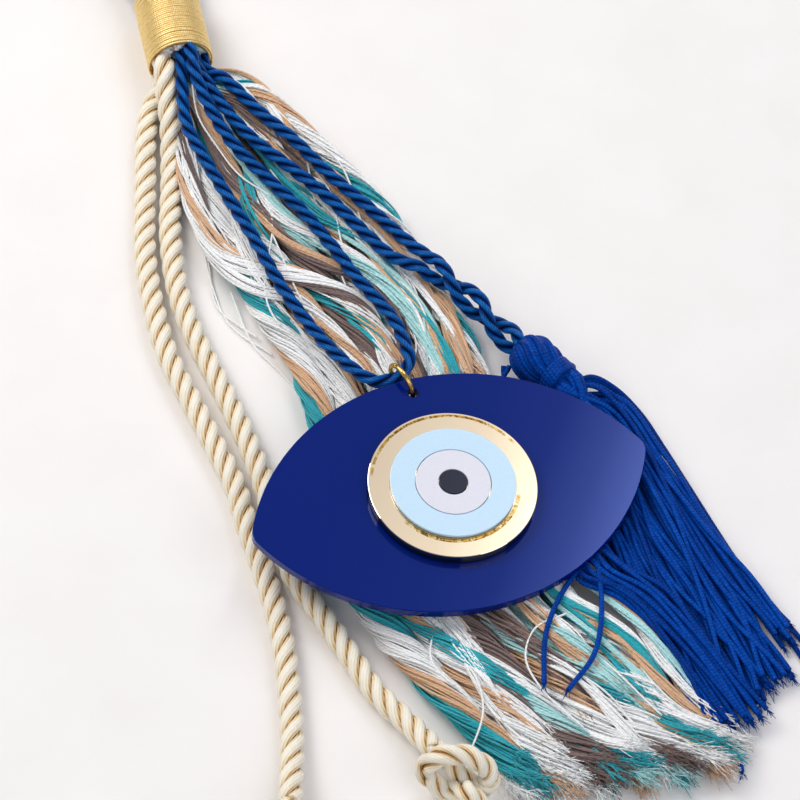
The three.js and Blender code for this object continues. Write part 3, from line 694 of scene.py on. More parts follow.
def kept_clear(points):
    """Lifts threads off the table, and presses them down under the plate and under the cords."""
    local = (points - PLATE_CENTRE) @ PLATE_AXES.T
    inside = (local[..., 0] / 68) ** 2 + (local[..., 1] / 48) ** 2 < 1
    under = PLATE_CENTRE[2] - 1.5 - math.tan(PLATE_LEAN) * (points[..., 0] - PLATE_CENTRE[0])
    roof = np.where(inside, under - 0.5, 10.2 + 0.45 * np.clip(points[..., 1] - 52, 0, 30))
    height = np.minimum(points[..., 2], roof)
    points[..., 2] = np.maximum(height, THREAD_RADIUS)
    return points


def cut_short(routes, shortest):
    """The same threads with their ends cut off by up to `shortest` mm."""
    steps = routes.shape[1]
    length = np.linalg.norm(np.diff(routes[0], axis=0), axis=1).sum()
    keep = 1 - dice.uniform(0, 1, len(routes)) * shortest / length
    at = np.linspace(0, 1, steps)[None, :] * keep[:, None] * (steps - 1)
    low = np.minimum(at.astype(int), steps - 2)
    share = (at - low)[..., None]
    pick = np.arange(len(routes))[:, None]
    return routes[pick, low] * (1 - share) + routes[pick, low + 1] * share


# A cut end's fibres: how many, how long, how far they spread and how thick.
YARN_FRAY = (5, 6.0, 1.2, 0.17)
STRAND_FRAY = (9, 2.6, 0.7, 0.13)


def frayed_ends(routes, fibres, length, spread, thickness, floor=0.25):
    """Thin fibres that go on from the end of each thread and spread."""
    ends = np.repeat(routes[:, -1], fibres, axis=0)[:, None]
    ahead = np.repeat(unit(routes[:, -1] - routes[:, -3]), fibres, axis=0)[:, None]
    count = len(ends)
    t = np.linspace(0, 1, 5)[None, :, None]
    lean = dice.normal(0, spread, (count, 1, 3)) * (1, 1, 0.7)
    curl = dice.normal(0, 0.4 * spread, (count, 1, 3))
    reach = length * dice.uniform(0.5, 1.1, (count, 1, 1))
    made = ends + ahead * reach * (t - 0.03) + lean * t + curl * t**2
    made[..., 2] = np.maximum(made[..., 2], floor)
    taper = thickness * np.array([1, 1, 0.9, 0.75, 0.5])[None, :, None]
    return tubes(made, taper, 4)


def tints(colours, points_each, spread=0.045):
    """A colour for each thread, a little lighter or darker than the next, for all of its points."""
    shade = dice.normal(1, spread, (len(colours), 1))
    mixed = np.clip(np.array([linear(c) for c in colours]) * shade, 0, 1)
    mixed = np.hstack([mixed, np.ones((len(colours), 1))])
    return np.repeat(mixed, points_each, axis=0)


# Spun cotton: matt, slightly hairy, each thread two-ply, so that fine slanting lines run round it.
cotton, cotton_shader = finish_of("spun cotton", roughness=0.8, sheen_weight=0.3)
cotton_tint = add_node(cotton, "ShaderNodeAttribute", attribute_name="tint").outputs["Color"]
cotton_fluff = grain(cotton, 0.35)
cotton_plies = ridges(cotton, 2, 0.55)
# The fluff varies the tone at random; the ply lines darken and lighten it a little, as painted shade and
# highlight on each thread's twist.
cotton_tone_and_ply_shade = weighted(cotton, 0.86, cotton_fluff, 0.24)
cotton_tone_and_ply_shade = weighted(cotton, cotton_tone_and_ply_shade, cotton_plies, 0.05)
cotton_mix = add_node(
    cotton, "ShaderNodeVectorMath", {0: cotton_tint, "Scale": cotton_tone_and_ply_shade}, operation="SCALE",
)
drive(cotton, cotton_shader, base_color=cotton_mix.outputs[0])
bumped(cotton, cotton_shader, weighted(cotton, cotton_fluff, cotton_plies, 0.6), 0.12)

lock_lines = {}
for name, (leaves, colours, slot_name, rows) in YARN_LOCKS.items():
    side, height = leaves
    start = [(*mouth_point(0.85 * side, height, out), 1.6, 1.6) for out in (-4, 0.6, 5)]
    spine = [(x, y, under + tall, wide, tall) for x, y, wide, tall, under in rows]
    last, before = np.array(spine[-1]), np.array(spine[-2])
    spine.append(last + (last - before) * 5 / np.linalg.norm((last - before)[:2]))
    whole = smooth_route([*start, *spine], step=YARN_STEP)
    run = np.arange(len(whole)) * YARN_STEP
    flare = 1.12 + 0.45 * smooth_step(run, run[-1] - 34, run[-1])
    lock_lines[name] = whole
    routes, strand = hank(
        whole[:, :3], whole[:, 3] * flare, 0.97 * whole[:, 4], THREADS, 5, dice.uniform(56, 70)
    )
    routes = kept_clear(cut_short(routes, 12))
    thread_colours = [YARN_COLOURS[colours[k]] for k in strand]
    solid = tubes(routes, THREAD_RADIUS, THREAD_SIDES)
    frays = frayed_ends(routes, *YARN_FRAY)
    tint = np.vstack(
        [tints(thread_colours, len(whole) * THREAD_SIDES), tints(np.repeat(thread_colours, 5), 20)]
    )
    piece_of(
        "yarn_lock_" + name + "_threads", [solid, frays], cotton, "bundle", slot_name,
        ["yarn_lock_" + name], tint=tint,
    )

# Hanks of the same yarn wander from lock to lock and tie them into one tangled tassel.
CROSSING_STEPS = 175
lanes = np.stack([smooth_route(line, count=CROSSING_STEPS) for line in lock_lines.values()])


def in_lane(position, height):
    """A line along the yarn at a position from 0, the left lock, to 5, at a share of its height."""
    low = np.clip(position.astype(int), 0, len(lanes) - 2)
    share = (position - low)[:, None]
    step = np.arange(CROSSING_STEPS)
    here = lanes[low, step] * (1 - share) + lanes[low + 1, step] * share
    here[:, 2] += height * here[:, 4]
    return here[:, :3]


# A hank: its lane at the mouth and at its end, how far it swings, its number of swings, and its colour.
CROSSING_HANKS = [
    (0.6, 1.4, 0.7, 1.6, "white"), (2.2, 1.2, 0.9, 2.1, "teal"), (2.8, 3.3, 0.8, 1.3, "brown"),
    (3.6, 2.6, 0.9, 1.8, "white"), (4.2, 4.5, 0.6, 1.4, "tan"),
]
# Hanks that lie on top: their number of threads, half their width, strands' colours and route.
TOP_HANKS = [
    (
        44, 3.6, ("white", "tan", "white", "white", "brown"),
        [
            mouth_point(-3.5, 7.0, -3), (-76.2, 62.0, 7.0), (-74.4, 41.4, 7.6), (-69.4, 23.1, 8.4),
            (-62.0, 8.6, 8.8), (-50.9, 2.2, 9.0), (-41.7, 0.4, 9.0), (-29.4, -4.6, 9.0),
            (-21.5, -10.8, 9.0), (-14.1, -22.3, 9.0), (-9.5, -34.3, 9.0), (-5.0, -52.0, 9.0),
            (-1.0, -84.0, 9.0), (3.0, -112.0, 8.8), (15.0, -137.0, 8.6), (31.0, -157.0, 7.0),
            (38.0, -167.0, 5.0),
        ],
    ),
    (
        26, 2.5, ("tan", "white", "white"),
        [
            mouth_point(-5.0, 6.0, -3), (-77.0, 56.0, 5.4), (-74.0, 34.0, 6.6), (-68.0, 13.0, 7.4),
            (-59.0, 0.0, 8.2), (-50.0, -6.0, 8.8), (-41.6, -8.5, 8.8), (-34.0, -14.0, 8.8),
            (-28.0, -21.0, 8.8), (-19.0, -34.0, 8.8), (-14.0, -52.0, 8.8), (-12.0, -84.0, 8.8),
            (-6.0, -112.0, 8.6), (11.0, -136.0, 8.2), (26.0, -156.0, 6.4),
        ],
    ),
    (
        22, 2.2, ("brown", "tan", "brown"),
        [
            mouth_point(0.0, 8.0, -3), (-70.0, 61.0, 7.4), (-62.0, 40.0, 8.0), (-52.0, 25.0, 8.8),
            (-42.0, 12.5, 8.8), (-30.0, 4.0, 8.8), (-19.0, -3.0, 8.8), (-11.0, -15.0, 8.8),
            (-4.0, -32.0, 8.8), (2.0, -54.0, 8.8), (6.0, -84.0, 8.8), (15.0, -112.0, 8.8),
            (32.0, -134.0, 8.8), (50.0, -156.0, 6.4),
        ],
    ),
    (
        30, 2.9, ("aqua", "white", "aqua"),
        [
            mouth_point(2.0, 9.0, -3), (-64.0, 58.0, 8.0), (-53.0, 38.0, 8.8), (-43.0, 22.0, 8.8),
            (-27.0, 10.0, 8.8), (-12.0, -4.0, 8.8), (-1.0, -24.0, 8.8), (6.0, -46.0, 8.6),
            (14.0, -80.0, 8.6), (25.0, -110.0, 8.8), (43.0, -131.0, 8.8), (60.0, -152.0, 6.6),
        ],
    ),
    (
        20, 1.9, ("teal", "teal", "aqua"),
        [
            mouth_point(3.0, 8.0, -3), (-58.0, 60.0, 7.6), (-46.0, 40.0, 8.2), (-35.0, 25.0, 8.6),
            (-20.0, 12.0, 8.8), (-7.0, -4.0, 8.8), (4.0, -24.0, 8.6), (11.0, -46.0, 8.2),
            (22.0, -80.0, 8.0), (34.0, -110.0, 8.4), (53.0, -133.0, 8.4), (69.0, -152.0, 6.2),
        ],
    ),
    (
        22, 2.0, ("white", "tan"),
        [
            mouth_point(7.0, 10.0, -3), mouth_point(8.4, 10.6, 3), (-59.4, 80.2, 8.0),
            (-52.4, 74.4, 8.0), (-46.8, 65.0, 8.0), (-42.0, 54.0, 8.0), (-33.0, 41.0, 8.4),
            (-20.0, 25.0, 8.6), (-6.0, 5.0, 8.4), (5.0, -16.0, 8.0), (13.0, -44.0, 7.6),
        ],
    ),
    (
        20, 1.7, ("tan", "white"),
        [
            mouth_point(6.0, 9.0, -3), mouth_point(7.4, 9.4, 3), (-61.4, 76.6, 8.4), (-55.9, 70.0, 8.6),
            (-51.5, 60.5, 8.6), (-46.0, 49.0, 8.6), (-36.0, 35.0, 8.8), (-24.0, 19.0, 8.8),
            (-12.0, 1.0, 8.8), (0.0, -18.0, 8.6), (8.0, -46.0, 8.2),
        ],
    ),
    (
        34, 3.0, ("white", "teal", "tan", "white"),
        [
            (14.0, -60.0, 6.0), (22.0, -84.0, 7.4), (31.0, -104.0, 8.6), (40.0, -115.0, 9.0),
            (49.5, -122.0, 9.0), (58.6, -130.5, 8.8), (65.4, -141.6, 8.0), (72.0, -151.0, 7.0),
            (80.0, -157.0, 5.6), (88.0, -161.0, 4.0),
        ],
    ),
    (
        26, 2.6, ("tan", "aqua", "white"),
        [
            (20.0, -56.0, 5.0), (31.0, -84.0, 6.0), (41.0, -101.0, 6.8), (52.0, -112.0, 6.8),
            (62.0, -123.0, 6.4), (69.5, -136.0, 5.6), (77.0, -148.0, 4.8), (86.0, -157.0, 3.8),
        ],
    ),
]


def lay_hank(name, slot_name, hanks):
    """One piece of hanks with cut ends, each (line, count, width, height, colours of its strands)."""
    solids, colours = [], []
    for line, count, half_wide, half_tall, mixed in hanks:
        routes, strand = hank(line, half_wide, half_tall, count, len(mixed), 75, 0.09)
        routes = kept_clear(cut_short(routes, 14))
        solids += [tubes(routes, THREAD_RADIUS, THREAD_SIDES), frayed_ends(routes, *YARN_FRAY)]
        each = [YARN_COLOURS[mixed[k]] for k in strand]
        colours += [tints(each, len(line) * THREAD_SIDES), tints(np.repeat(each, 5), 20)]
    piece_of(name, solids, cotton, "bundle", slot_name, tint=np.vstack(colours))


share = np.linspace(0, 1, CROSSING_STEPS)
crossing = []
for first, end, swing, swings, colour in CROSSING_HANKS:
    phase = dice.uniform(0, 1)
    position = first + (end - first) * share + swing * np.sin(2 * np.pi * (swings * share + phase))
    height = 0.62 + 0.42 * np.sin(2 * np.pi * (2.3 * swings * share + phase))
    line = smooth_route(in_lane(np.clip(position, 0, 4.98), height), count=CROSSING_STEPS)
    thickness = 2.2 * smooth_step(share, -0.06, 0.12)
    crossing.append((line, 20, 1.2 * thickness, 0.6 * thickness, (colour,)))
lay_hank("yarn_crossing_threads", "white_yarn", crossing)
for number, (count, half_wide, mixed, route) in enumerate(TOP_HANKS, 1):
    line = smooth_route(route, step=1.8)
    run = 1.8 * np.arange(len(line))
    grown = half_wide * (0.45 + 0.55 * smooth_step(run, 4, 30))
    grown = grown * (1 + 0.5 * smooth_step(run, run[-1] - 30, run[-1]))
    hanks = [(line, round(1.35 * count), grown, 1.3, mixed)]
    lay_hank(f"yarn_top_hank_{number}", mixed[0] + "_yarn", hanks)

# Single threads have come loose and curl over the rest.
STRAYS = 16
stray_routes = []
for k in range(STRAYS):
    position = dice.uniform(0, 4.9) + waves(1, 3.0 * share, 0.5, 0.6, 1.4)[0]
    line = in_lane(np.clip(position, 0, 4.98), dice.uniform(0.85, 1.2) + 0 * share)
    line = line + np.stack(
        [waves(1, 280 * share, 1.5, 34, 90)[0], waves(1, 280 * share, 1.5, 34, 90)[0], 0 * share], 1
    )
    begin = dice.integers(5, CROSSING_STEPS - 70)
    stray_routes.append(smooth_route(line[begin : begin + dice.integers(30, 70)], count=60))
# Three hang clear of the yarn's left edge, two curl over near its cut ends, and one lies on it
# below the collar.
LOOSE_THREADS = [
    [(-73.0, 44.0, 4.0), (-71.5, 27.6, 2.0), (-67.4, 10.2, 1.2), (-64.0, -6.5, 1.0), (-51.6, -18.0, 1.4)],
    [(-74.0, 38.0, 4.0), (-70.0, 20.0, 2.4), (-66.0, 2.0, 1.0), (-60.0, -13.0, 0.8), (-47.0, -24.0, 1.0)],
    [
        (-60.0, -2.0, 3.0), (-53.0, -20.0, 1.0), (-43.0, -32.0, 0.8), (-34.0, -46.0, 1.0),
        (-33.0, -60.0, 2.0),
    ],
    [
        (8.0, -172.0, 6.0), (12.0, -165.0, 8.4), (15.6, -153.0, 10.2), (13.0, -141.0, 10.2),
        (3.0, -130.0, 9.8),
    ],
    [
        (44.0, -158.0, 9.0), (33.0, -147.0, 10.2), (28.0, -136.0, 10.2), (31.0, -126.0, 10.2),
        (40.0, -121.0, 10),
    ],
    [
        (-74.0, 74.0, 14.0), (-71.6, 60.0, 12.0), (-66.0, 50.0, 10.4), (-58.0, 38.0, 9.8),
        (-48.0, 30.0, 9.6),
    ],
]
stray_routes += [smooth_route(route, count=60) for route in LOOSE_THREADS]
stray_routes = np.stack(stray_routes)
stray_routes[..., 2] = np.maximum(stray_routes[..., 2], 0.4)
stray_colours = dice.choice(["white", "white", "white", "white", "aqua"], len(stray_routes))
piece_of(
    "yarn_stray_threads",
    [tubes(stray_routes, 0.33, 5)],
    cotton,
    "bundle",
    "white_yarn",
    tint=tints([YARN_COLOURS[c] for c in stray_colours], 300),
)

# ---- Hanging loop and the bundle in the collar ----
# The loop is the same yarn, folded over above the collar. Inside the collar lies everything that it grips.
LOOP_ROUTE = [
    mouth_point(-5.0, 10.8, -22.0), mouth_point(-5.0, 10.8, -27.3), mouth_point(-5.2, 10.4, -31.0),
    (-93.6, 116.5, 8.6), (-98.6, 126.0, 5.2), (-101.0, 138.0, 4.3), (-99.0, 149.0, 4.3),
    (-92.0, 154.0, 4.3), (-84.5, 150.5, 4.3), (-81.5, 140.0, 4.3), (-80.8, 127.0, 5.2),
    (-80.2, 117.5, 8.6), mouth_point(5.0, 10.4, -31.0), mouth_point(4.8, 10.8, -27.3),
    mouth_point(4.8, 10.8, -22.0),
]
LOOP_RADIUS = 4.2
LOOP_COLOURS = ("white", "white", "tan", "white")
loop_line = smooth_route(LOOP_ROUTE, step=1.4)
loop_routes, strand = hank(loop_line, LOOP_RADIUS, 0.95 * LOOP_RADIUS, 96, 4, 40, 0.08)
loop_routes[..., 2] = np.maximum(loop_routes[..., 2], THREAD_RADIUS)
loop_colours = [YARN_COLOURS[LOOP_COLOURS[k]] for k in strand]
piece_of(
    "hanging_loop_threads", [tubes(loop_routes, THREAD_RADIUS, THREAD_SIDES)], cotton, "bundle",
    "white_yarn", ["hanging_loop"], tint=tints(loop_colours, len(loop_line) * THREAD_SIDES),
)
COLLAR_HEIGHT = 10.8
COLLAR_LENGTH = 27.0
COLLAR_BORE = 9.1  # its radius
STRAND_GAP = 1.45
core_routes = []
for row in range(-7, 8):
    for place in range(-7, 8):
        u = STRAND_GAP * (place + 0.5 * (row % 2))
        v = STRAND_GAP * 0.87 * row
        if math.hypot(u, v) < COLLAR_BORE - 0.9:
            near, far = dice.uniform(0.6, 2.2, 2)
            ends = np.linspace(-near, -COLLAR_LENGTH + far, 6)
            core_routes.append([mouth_point(u, COLLAR_HEIGHT + v, out) for out in ends])
core_colours = dice.choice(["white", "tan", "white", "aqua", "brown"], len(core_routes))
piece_of(
    "bundle_core_threads",
    [tubes(core_routes, 0.74, 7)],
    cotton,
    "bundle",
    "white_yarn",
    ["bundle_core"],
    tint=tints([YARN_COLOURS[c] for c in core_colours], 42),
)

# ---- Collar ----
# Fine gold lurex thread wound 33 times round the bundle, close and tight, over a card backing.
WINDINGS = 33
WIRE_STEPS = 64
GOLD_WIRE = 0.43
COLLAR_RADIUS = 10.5
angle = 2 * np.pi * np.arange(WINDINGS * WIRE_STEPS) / WIRE_STEPS
pitch = (COLLAR_LENGTH - 2 * GOLD_WIRE) / WINDINGS
down = GOLD_WIRE + pitch * angle / (2 * np.pi) + waves(1, angle, 0.07, 5, 23)[0]
coil_radius = COLLAR_RADIUS - GOLD_WIRE + waves(1, angle, 0.05, 4, 17)[0]
start = np.array(mouth_point(0, COLLAR_HEIGHT, -COLLAR_LENGTH))
axis3 = np.array([*COLLAR_AXIS, 0.0])
side3 = np.array([*COLLAR_SIDE, 0.0])
coil = start + down[:, None] * axis3 + (coil_radius * np.cos(angle))[:, None] * side3
coil[:, 2] += coil_radius * np.sin(angle)
# Lurex: half metal, with painted light in its colour: a painted highlight along the outer crest of each
# turn, painted glints in fine patches, and painted shade, brown, towards the sides between turns.
lurex, lurex_shader = finish_of("gold lurex thread", metallic=0.55, roughness=0.36, sheen_weight=0.1)
lurex_painted_glint_and_bump = grain(lurex, 0.8, 3.0)
lurex_twist = ridges(lurex, 1, 1.4)
lurex_painted_crest_light = add_node(
    lurex,
    "ShaderNodeMath",
    {0: weighted(lurex, 0.0, part_of(lurex, "thread", 1), 2 * math.pi)},
    operation="COSINE",
).outputs[0]
lurex_painted_light = weighted(lurex, 0.3, lurex_painted_glint_and_bump, 0.42)
lurex_painted_light = weighted(lurex, lurex_painted_light, lurex_painted_crest_light, -0.3)
lurex_painted_light = weighted(lurex, lurex_painted_light, lurex_twist, 0.06)
LUREX_SHADE_AND_HIGHLIGHT_STOPS = ((0.12, "#80500E"), (0.94, "#FFEFB8"), (0.42, "#C8912F"), (0.68, "#EDC56C"))
toned(lurex, lurex_shader, lurex_painted_light, *LUREX_SHADE_AND_HIGHLIGHT_STOPS)
bumped(lurex, lurex_shader, weighted(lurex, lurex_painted_glint_and_bump, lurex_twist, 0.5), 0.06)
backing_line = [mouth_point(0, COLLAR_HEIGHT, out) for out in np.linspace(-0.7, 0.7 - COLLAR_LENGTH, 5)]
outer_wall = tubes([backing_line], COLLAR_RADIUS - 2 * GOLD_WIRE + 0.25, 96)
inner_wall = tubes([backing_line], COLLAR_BORE, 96)


def sleeve(outer, inner):
    """One closed solid from two tubes with the same points, the second as its bore."""
    size, steps = len(outer[0]), 5
    sides = size // steps
    ring = np.arange(sides)
    near = np.stack([ring, ring + size, np.roll(ring, -1) + size, np.roll(ring, -1)], 1)
    far = (near + size - sides)[:, ::-1]
    quads = np.vstack([outer[1], inner[1][:, ::-1] + size, near, far])
    return np.vstack([outer[0], inner[0]]), quads, np.vstack([outer[3], inner[3]])


piece_of(
    "collar_winding", [tubes([coil], GOLD_WIRE, 10, reference=axis3), sleeve(outer_wall, inner_wall)],
    lurex, "bundle", "gold_thread", ["wrap_collar"],
)

# ---- Tassel ----
# Chain-knit viscose strands, folded over into a round head, bound at the neck and hanging as a skirt.
STRAND_RADIUS = 0.8
KNIT_LENGTH = 1.1  # of one chain stitch
BAND_START = 6.3
BAND_LENGTH = 6.0
BAND_RADIUS = 6.3
# Knitted viscose: a weak, soft gloss tinted blue keeps the strands deep. The stitches show as fine crossing
# ridges, bumped and also painted as highlights on their crests; the rest of the tone varies at random by
# strand and in patches.
viscose, viscose_shader = finish_of(
    "knitted viscose", roughness=0.42, specular_ior_level=0.25, specular_tint=rgba("#6FA0FF")
)
knit = ridges(viscose, 2, 1 / KNIT_LENGTH)
knit_back = ridges(viscose, -2, 1 / KNIT_LENGTH)
knit_both = add_node(viscose, "ShaderNodeMath", {0: knit, 1: knit_back}, operation="MAXIMUM").outputs[0]
knit_noise = grain(viscose, 1.2, 3.0)
strand_phase = weighted(viscose, 0.0, part_of(viscose, "thread", 2), 2.4)
strand_tone = add_node(viscose, "ShaderNodeMath", {0: strand_phase}, operation="SINE").outputs[0]
knit_tone_and_highlight = weighted(viscose, 0.26, knit_both, 0.12)
knit_tone_and_highlight = weighted(viscose, knit_tone_and_highlight, strand_tone, 0.1)
knit_tone_and_highlight = weighted(viscose, knit_tone_and_highlight, knit_noise, 0.5)
VISCOSE_TONE_AND_HIGHLIGHT_STOPS = ((0.1, "#000C36"), (1.0, "#1670DC"), (0.42, "#002B7A"), (0.7, "#0044A4"))
toned(viscose, viscose_shader, knit_tone_and_highlight, *VISCOSE_TONE_AND_HIGHLIGHT_STOPS)
bumped(viscose, viscose_shader, knit_both, 0.06)
tassel_side = np.array([-TASSEL_AXIS[1], TASSEL_AXIS[0], 0.0])
upward = np.array([0.0, 0.0, 1.0])


def in_tassel(along, radius, angle):
    """Points round the tassel's axis, measured from the middle of its head."""
    along, radius, angle = (np.asarray(x)[..., None] for x in (along, radius, angle))
    return HEAD_CENTRE + TASSEL_AXIS * along + radius * (
        tassel_side * np.cos(angle) + upward * np.sin(angle)
    )


def knitted(routes, radius=STRAND_RADIUS, sides=8):
    """Chain-knit strands: each stitch is a little thicker than the gap to the next."""
    routes = np.asarray(routes)
    run = np.linalg.norm(np.diff(routes, axis=1), axis=2).cumsum(axis=1)
    run = np.pad(run, ((0, 0), (1, 0)))[..., None]
    around = np.arange(sides) / sides
    stitch = np.cos(2 * np.pi * (run / KNIT_LENGTH + np.abs(((2 * around) % 1) - 0.5)))
    return tubes(routes, radius * (1 + 0.035 * stitch), sides)


HEAD_STRANDS = 27
HEAD_PROFILE = [(-6.4, 1.2), (-5.8, 2.9), (-3.9, 4.5), (-1.2, 5.3), (2.0, 5.2), (4.6, 4.4), (6.8, 3.5)]
head_line = smooth_route([(along, radius, 0.0) for along, radius in HEAD_PROFILE], step=0.33)
head_routes = []
for k in range(HEAD_STRANDS):
    angle = 2 * np.pi * k / HEAD_STRANDS + 0.9 * smooth_step(head_line[:, 0], -8, 8)
    lift = 1.25 - 0.8 * abs(k % 3 - 1)
    head_routes.append(in_tassel(head_line[:, 0], head_line[:, 1] + lift, angle))
ball_along = np.linspace(-6.6, 7.2, 24)
ball_radius = np.sqrt(np.maximum(5.4**2 - (0.74 * ball_along) ** 2, 1.2))
ball = tubes([in_tassel(ball_along, 0 * ball_along, 0 * ball_along)], ball_radius[None, :, None], 48)
piece_of(
    "tassel_head_strands", [knitted(head_routes, 0.95), ball], viscose, "tassel", "tassel_viscose",
    ["tassel_head"],
)
BAND_TURNS = 4
angle = np.linspace(0, 2 * np.pi * BAND_TURNS, 560)
along = BAND_START + 0.8 + (BAND_LENGTH - 1.6) * angle / angle[-1]
band = in_tassel(along, BAND_RADIUS - 1.1 + 0.1 * np.sin(3.7 * angle), angle)
neck_line = np.linspace(BAND_START - 0.5, BAND_START + BAND_LENGTH - 0.6, 8)
neck = tubes([in_tassel(neck_line, 0 * neck_line, 0 * neck_line)], 4.8, 40)
piece_of(
    "tassel_neck_winding", [knitted([band], 0.98, 10), neck], viscose, "tassel", "tassel_viscose",
    ["tassel_neck_band"],
)
SIDE_LOOP = [(24.2, -30.6, 4.4), (23.4, -36, 2.6), (26.4, -41.4, 2), (31.4, -43.2, 2), (35.2, -42.6, 2.2)]
loop_line = smooth_route(SIDE_LOOP, step=0.33)
across, up = axes_along(loop_line)
turn = 2 * np.pi * np.linspace(0, 1.6, len(loop_line))[:, None]
loop_side = 0.78 * (across * np.cos(turn) + up * np.sin(turn))
piece_of(
    "tassel_side_loop_strands", [knitted([loop_line + loop_side, loop_line - loop_side])], viscose,
    "tassel", "tassel_viscose", ["tassel_side_loop"],
)
# A lock of the skirt: where it leaves the neck, across it and up, and rows as for the yarn.
SKIRT_LOCKS = [
    (
        (-3.6, -1.6),
        [
            (44.2, -57.0, 2.2, 2.8, 0.0), (49.0, -77.0, 2.3, 3.2, 0.0), (57.6, -99.0, 2.5, 3.2, 0.0),
            (68.2, -122.0, 2.9, 3.2, 0.0), (79.5, -150.5, 3.2, 2.8, 0.0),
        ],
    ),
    (
        (-1.8, 2.6),
        [
            (48.7, -55.0, 2.1, 2.8, 1.2), (54.9, -75.0, 2.2, 3.2, 0.0), (62.8, -96.4, 2.6, 3.2, 0.0),
            (74.0, -119.4, 3.0, 3.2, 0.0), (86.6, -150.0, 3.2, 2.8, 0.0),
        ],
    ),
    (
        (0.0, -3.2),
        [
            (51.8, -51.6, 2.1, 2.7, 0.0), (59.8, -72.2, 2.3, 3.2, 0.0), (69.0, -93.6, 2.6, 3.2, 0.0),
            (80.8, -116.4, 3.0, 3.2, 0.0), (94.0, -147.4, 3.4, 2.8, 0.0),
        ],
    ),
    (
        (2.0, 1.6),
        [
            (55.0, -48.6, 2.2, 2.8, 1.2), (65.0, -69.4, 2.3, 3.2, 0.0), (75.2, -90.6, 2.6, 3.2, 0.0),
            (87.4, -113.2, 3.0, 3.2, 0.0), (100.6, -140.6, 3.4, 2.8, 0.0),
        ],
    ),
    (
        (3.8, -2.4),
        [
            (57.6, -43.6, 2.2, 2.8, 0.0), (69.4, -64.8, 2.3, 3.2, 0.0), (81.0, -87.0, 2.6, 3.2, 0.0),
            (94.0, -109.6, 3.0, 3.2, 0.0), (106.0, -128.4, 3.0, 2.8, 0.0),
        ],
    ),
]
# For each lock: how many strands it has, and how much its spread grows towards its end.
SKIRT_STRANDS = (22, 20, 20, 20, 10)
SKIRT_SPREAD = (0.75, 0.6, 0.6, 0.5, 0.1)
SKIRT_STEP = 0.36
for number, ((sideways, height), rows) in enumerate(SKIRT_LOCKS, 1):
    start = HEAD_CENTRE + TASSEL_AXIS * 8 - tassel_side * 0.75 * sideways + upward * 0.7 * height
    leave = start + TASSEL_AXIS * 6 - tassel_side * 0.25 * sideways + upward * 0.2 * height
    spine = [(*start, 1.4, 1.4), (*leave, 1.8, 1.7)]
    spine += [(x, y, under + tall, wide, tall) for x, y, wide, tall, under in rows]
    whole = smooth_route(spine, step=SKIRT_STEP)
    run = np.arange(len(whole)) * SKIRT_STEP
    spread = 1.05 + SKIRT_SPREAD[number - 1] * smooth_step(run, 20, run[-1])
    count = SKIRT_STRANDS[number - 1]
    spots = np.arange(count)
    reach = np.sqrt((spots + 0.5) / count)[:, None]
    heading = 2.4 * spots[:, None] + 0.9 * waves(count, run, 1.0, 90, 200)
    u = reach * np.cos(heading) + waves(count, run, 0.16, 30, 90)
    v = reach * np.sin(heading) + waves(count, run, 0.08, 30, 90)
    across, up = axes_along(whole[:, :3])
    routes = (
        whole[:, :3]
        + u[..., None] * across * (whole[:, 3] * spread)[:, None]
        + v[..., None] * up * (0.8 * whole[:, 4])[:, None]
    )
    routes = cut_short(routes, 9)
    routes[..., 2] = np.maximum(routes[..., 2], STRAND_RADIUS + 0.05)
    piece_of(
        f"tassel_skirt_{number}_strands", [knitted(routes), frayed_ends(routes, *STRAND_FRAY)],
        viscose, "tassel", "tassel_viscose", [f"tassel_skirt_{number}"],
    )

# Some strands stand apart from the skirt: two lie over the yarn below the eye, four arch out on the
# right, and two run along the skirt to its end.
STRAY_STRANDS = [
    [
        (43, -43, 4), (50, -62, 3), (53, -86, 6), (50, -97, 8.4), (39.5, -113.3, 10.6), (34, -128, 11),
        (33, -145, 11),
    ],
    [
        (42, -44, 4), (47, -66, 5), (49, -96, 8.4), (50.2, -120.4, 10.8), (47.6, -135, 10.8),
        (39.9, -146.8, 10.8),
    ],
    [
        (43, -40.5, 8), (49.5, -37, 8), (57, -39, 4.6), (64.4, -46, 1.6), (71, -58, 1), (89, -94.3, 1),
        (110, -134, 1),
    ],
    [
        (43, -40.5, 7), (50, -37.4, 7), (58, -40, 3.6), (64.2, -48, 1.2), (79, -85, 1), (90, -103, 1),
        (99, -134, 1),
    ],
    [
        (43, -41, 8), (50.5, -39.4, 7.4), (60, -45, 3.6), (67, -60, 1.4), (80, -84, 1), (96, -106, 1),
        (108, -124, 1),
    ],
    [
        (43, -41, 9), (51, -41, 8.4), (61, -52, 6), (74, -82, 5), (86, -108, 4), (92, -122, 1.2),
        (97, -140, 1),
    ],
    [(44, -42, 9), (58, -60, 7.4), (76, -100, 7), (84, -134, 6), (87.4, -156, 2), (89, -168, 1)],
    [(43, -43, 8), (54, -66, 7.4), (66, -104, 7.2), (76, -140, 6.4), (80.5, -158, 3.6)],
]
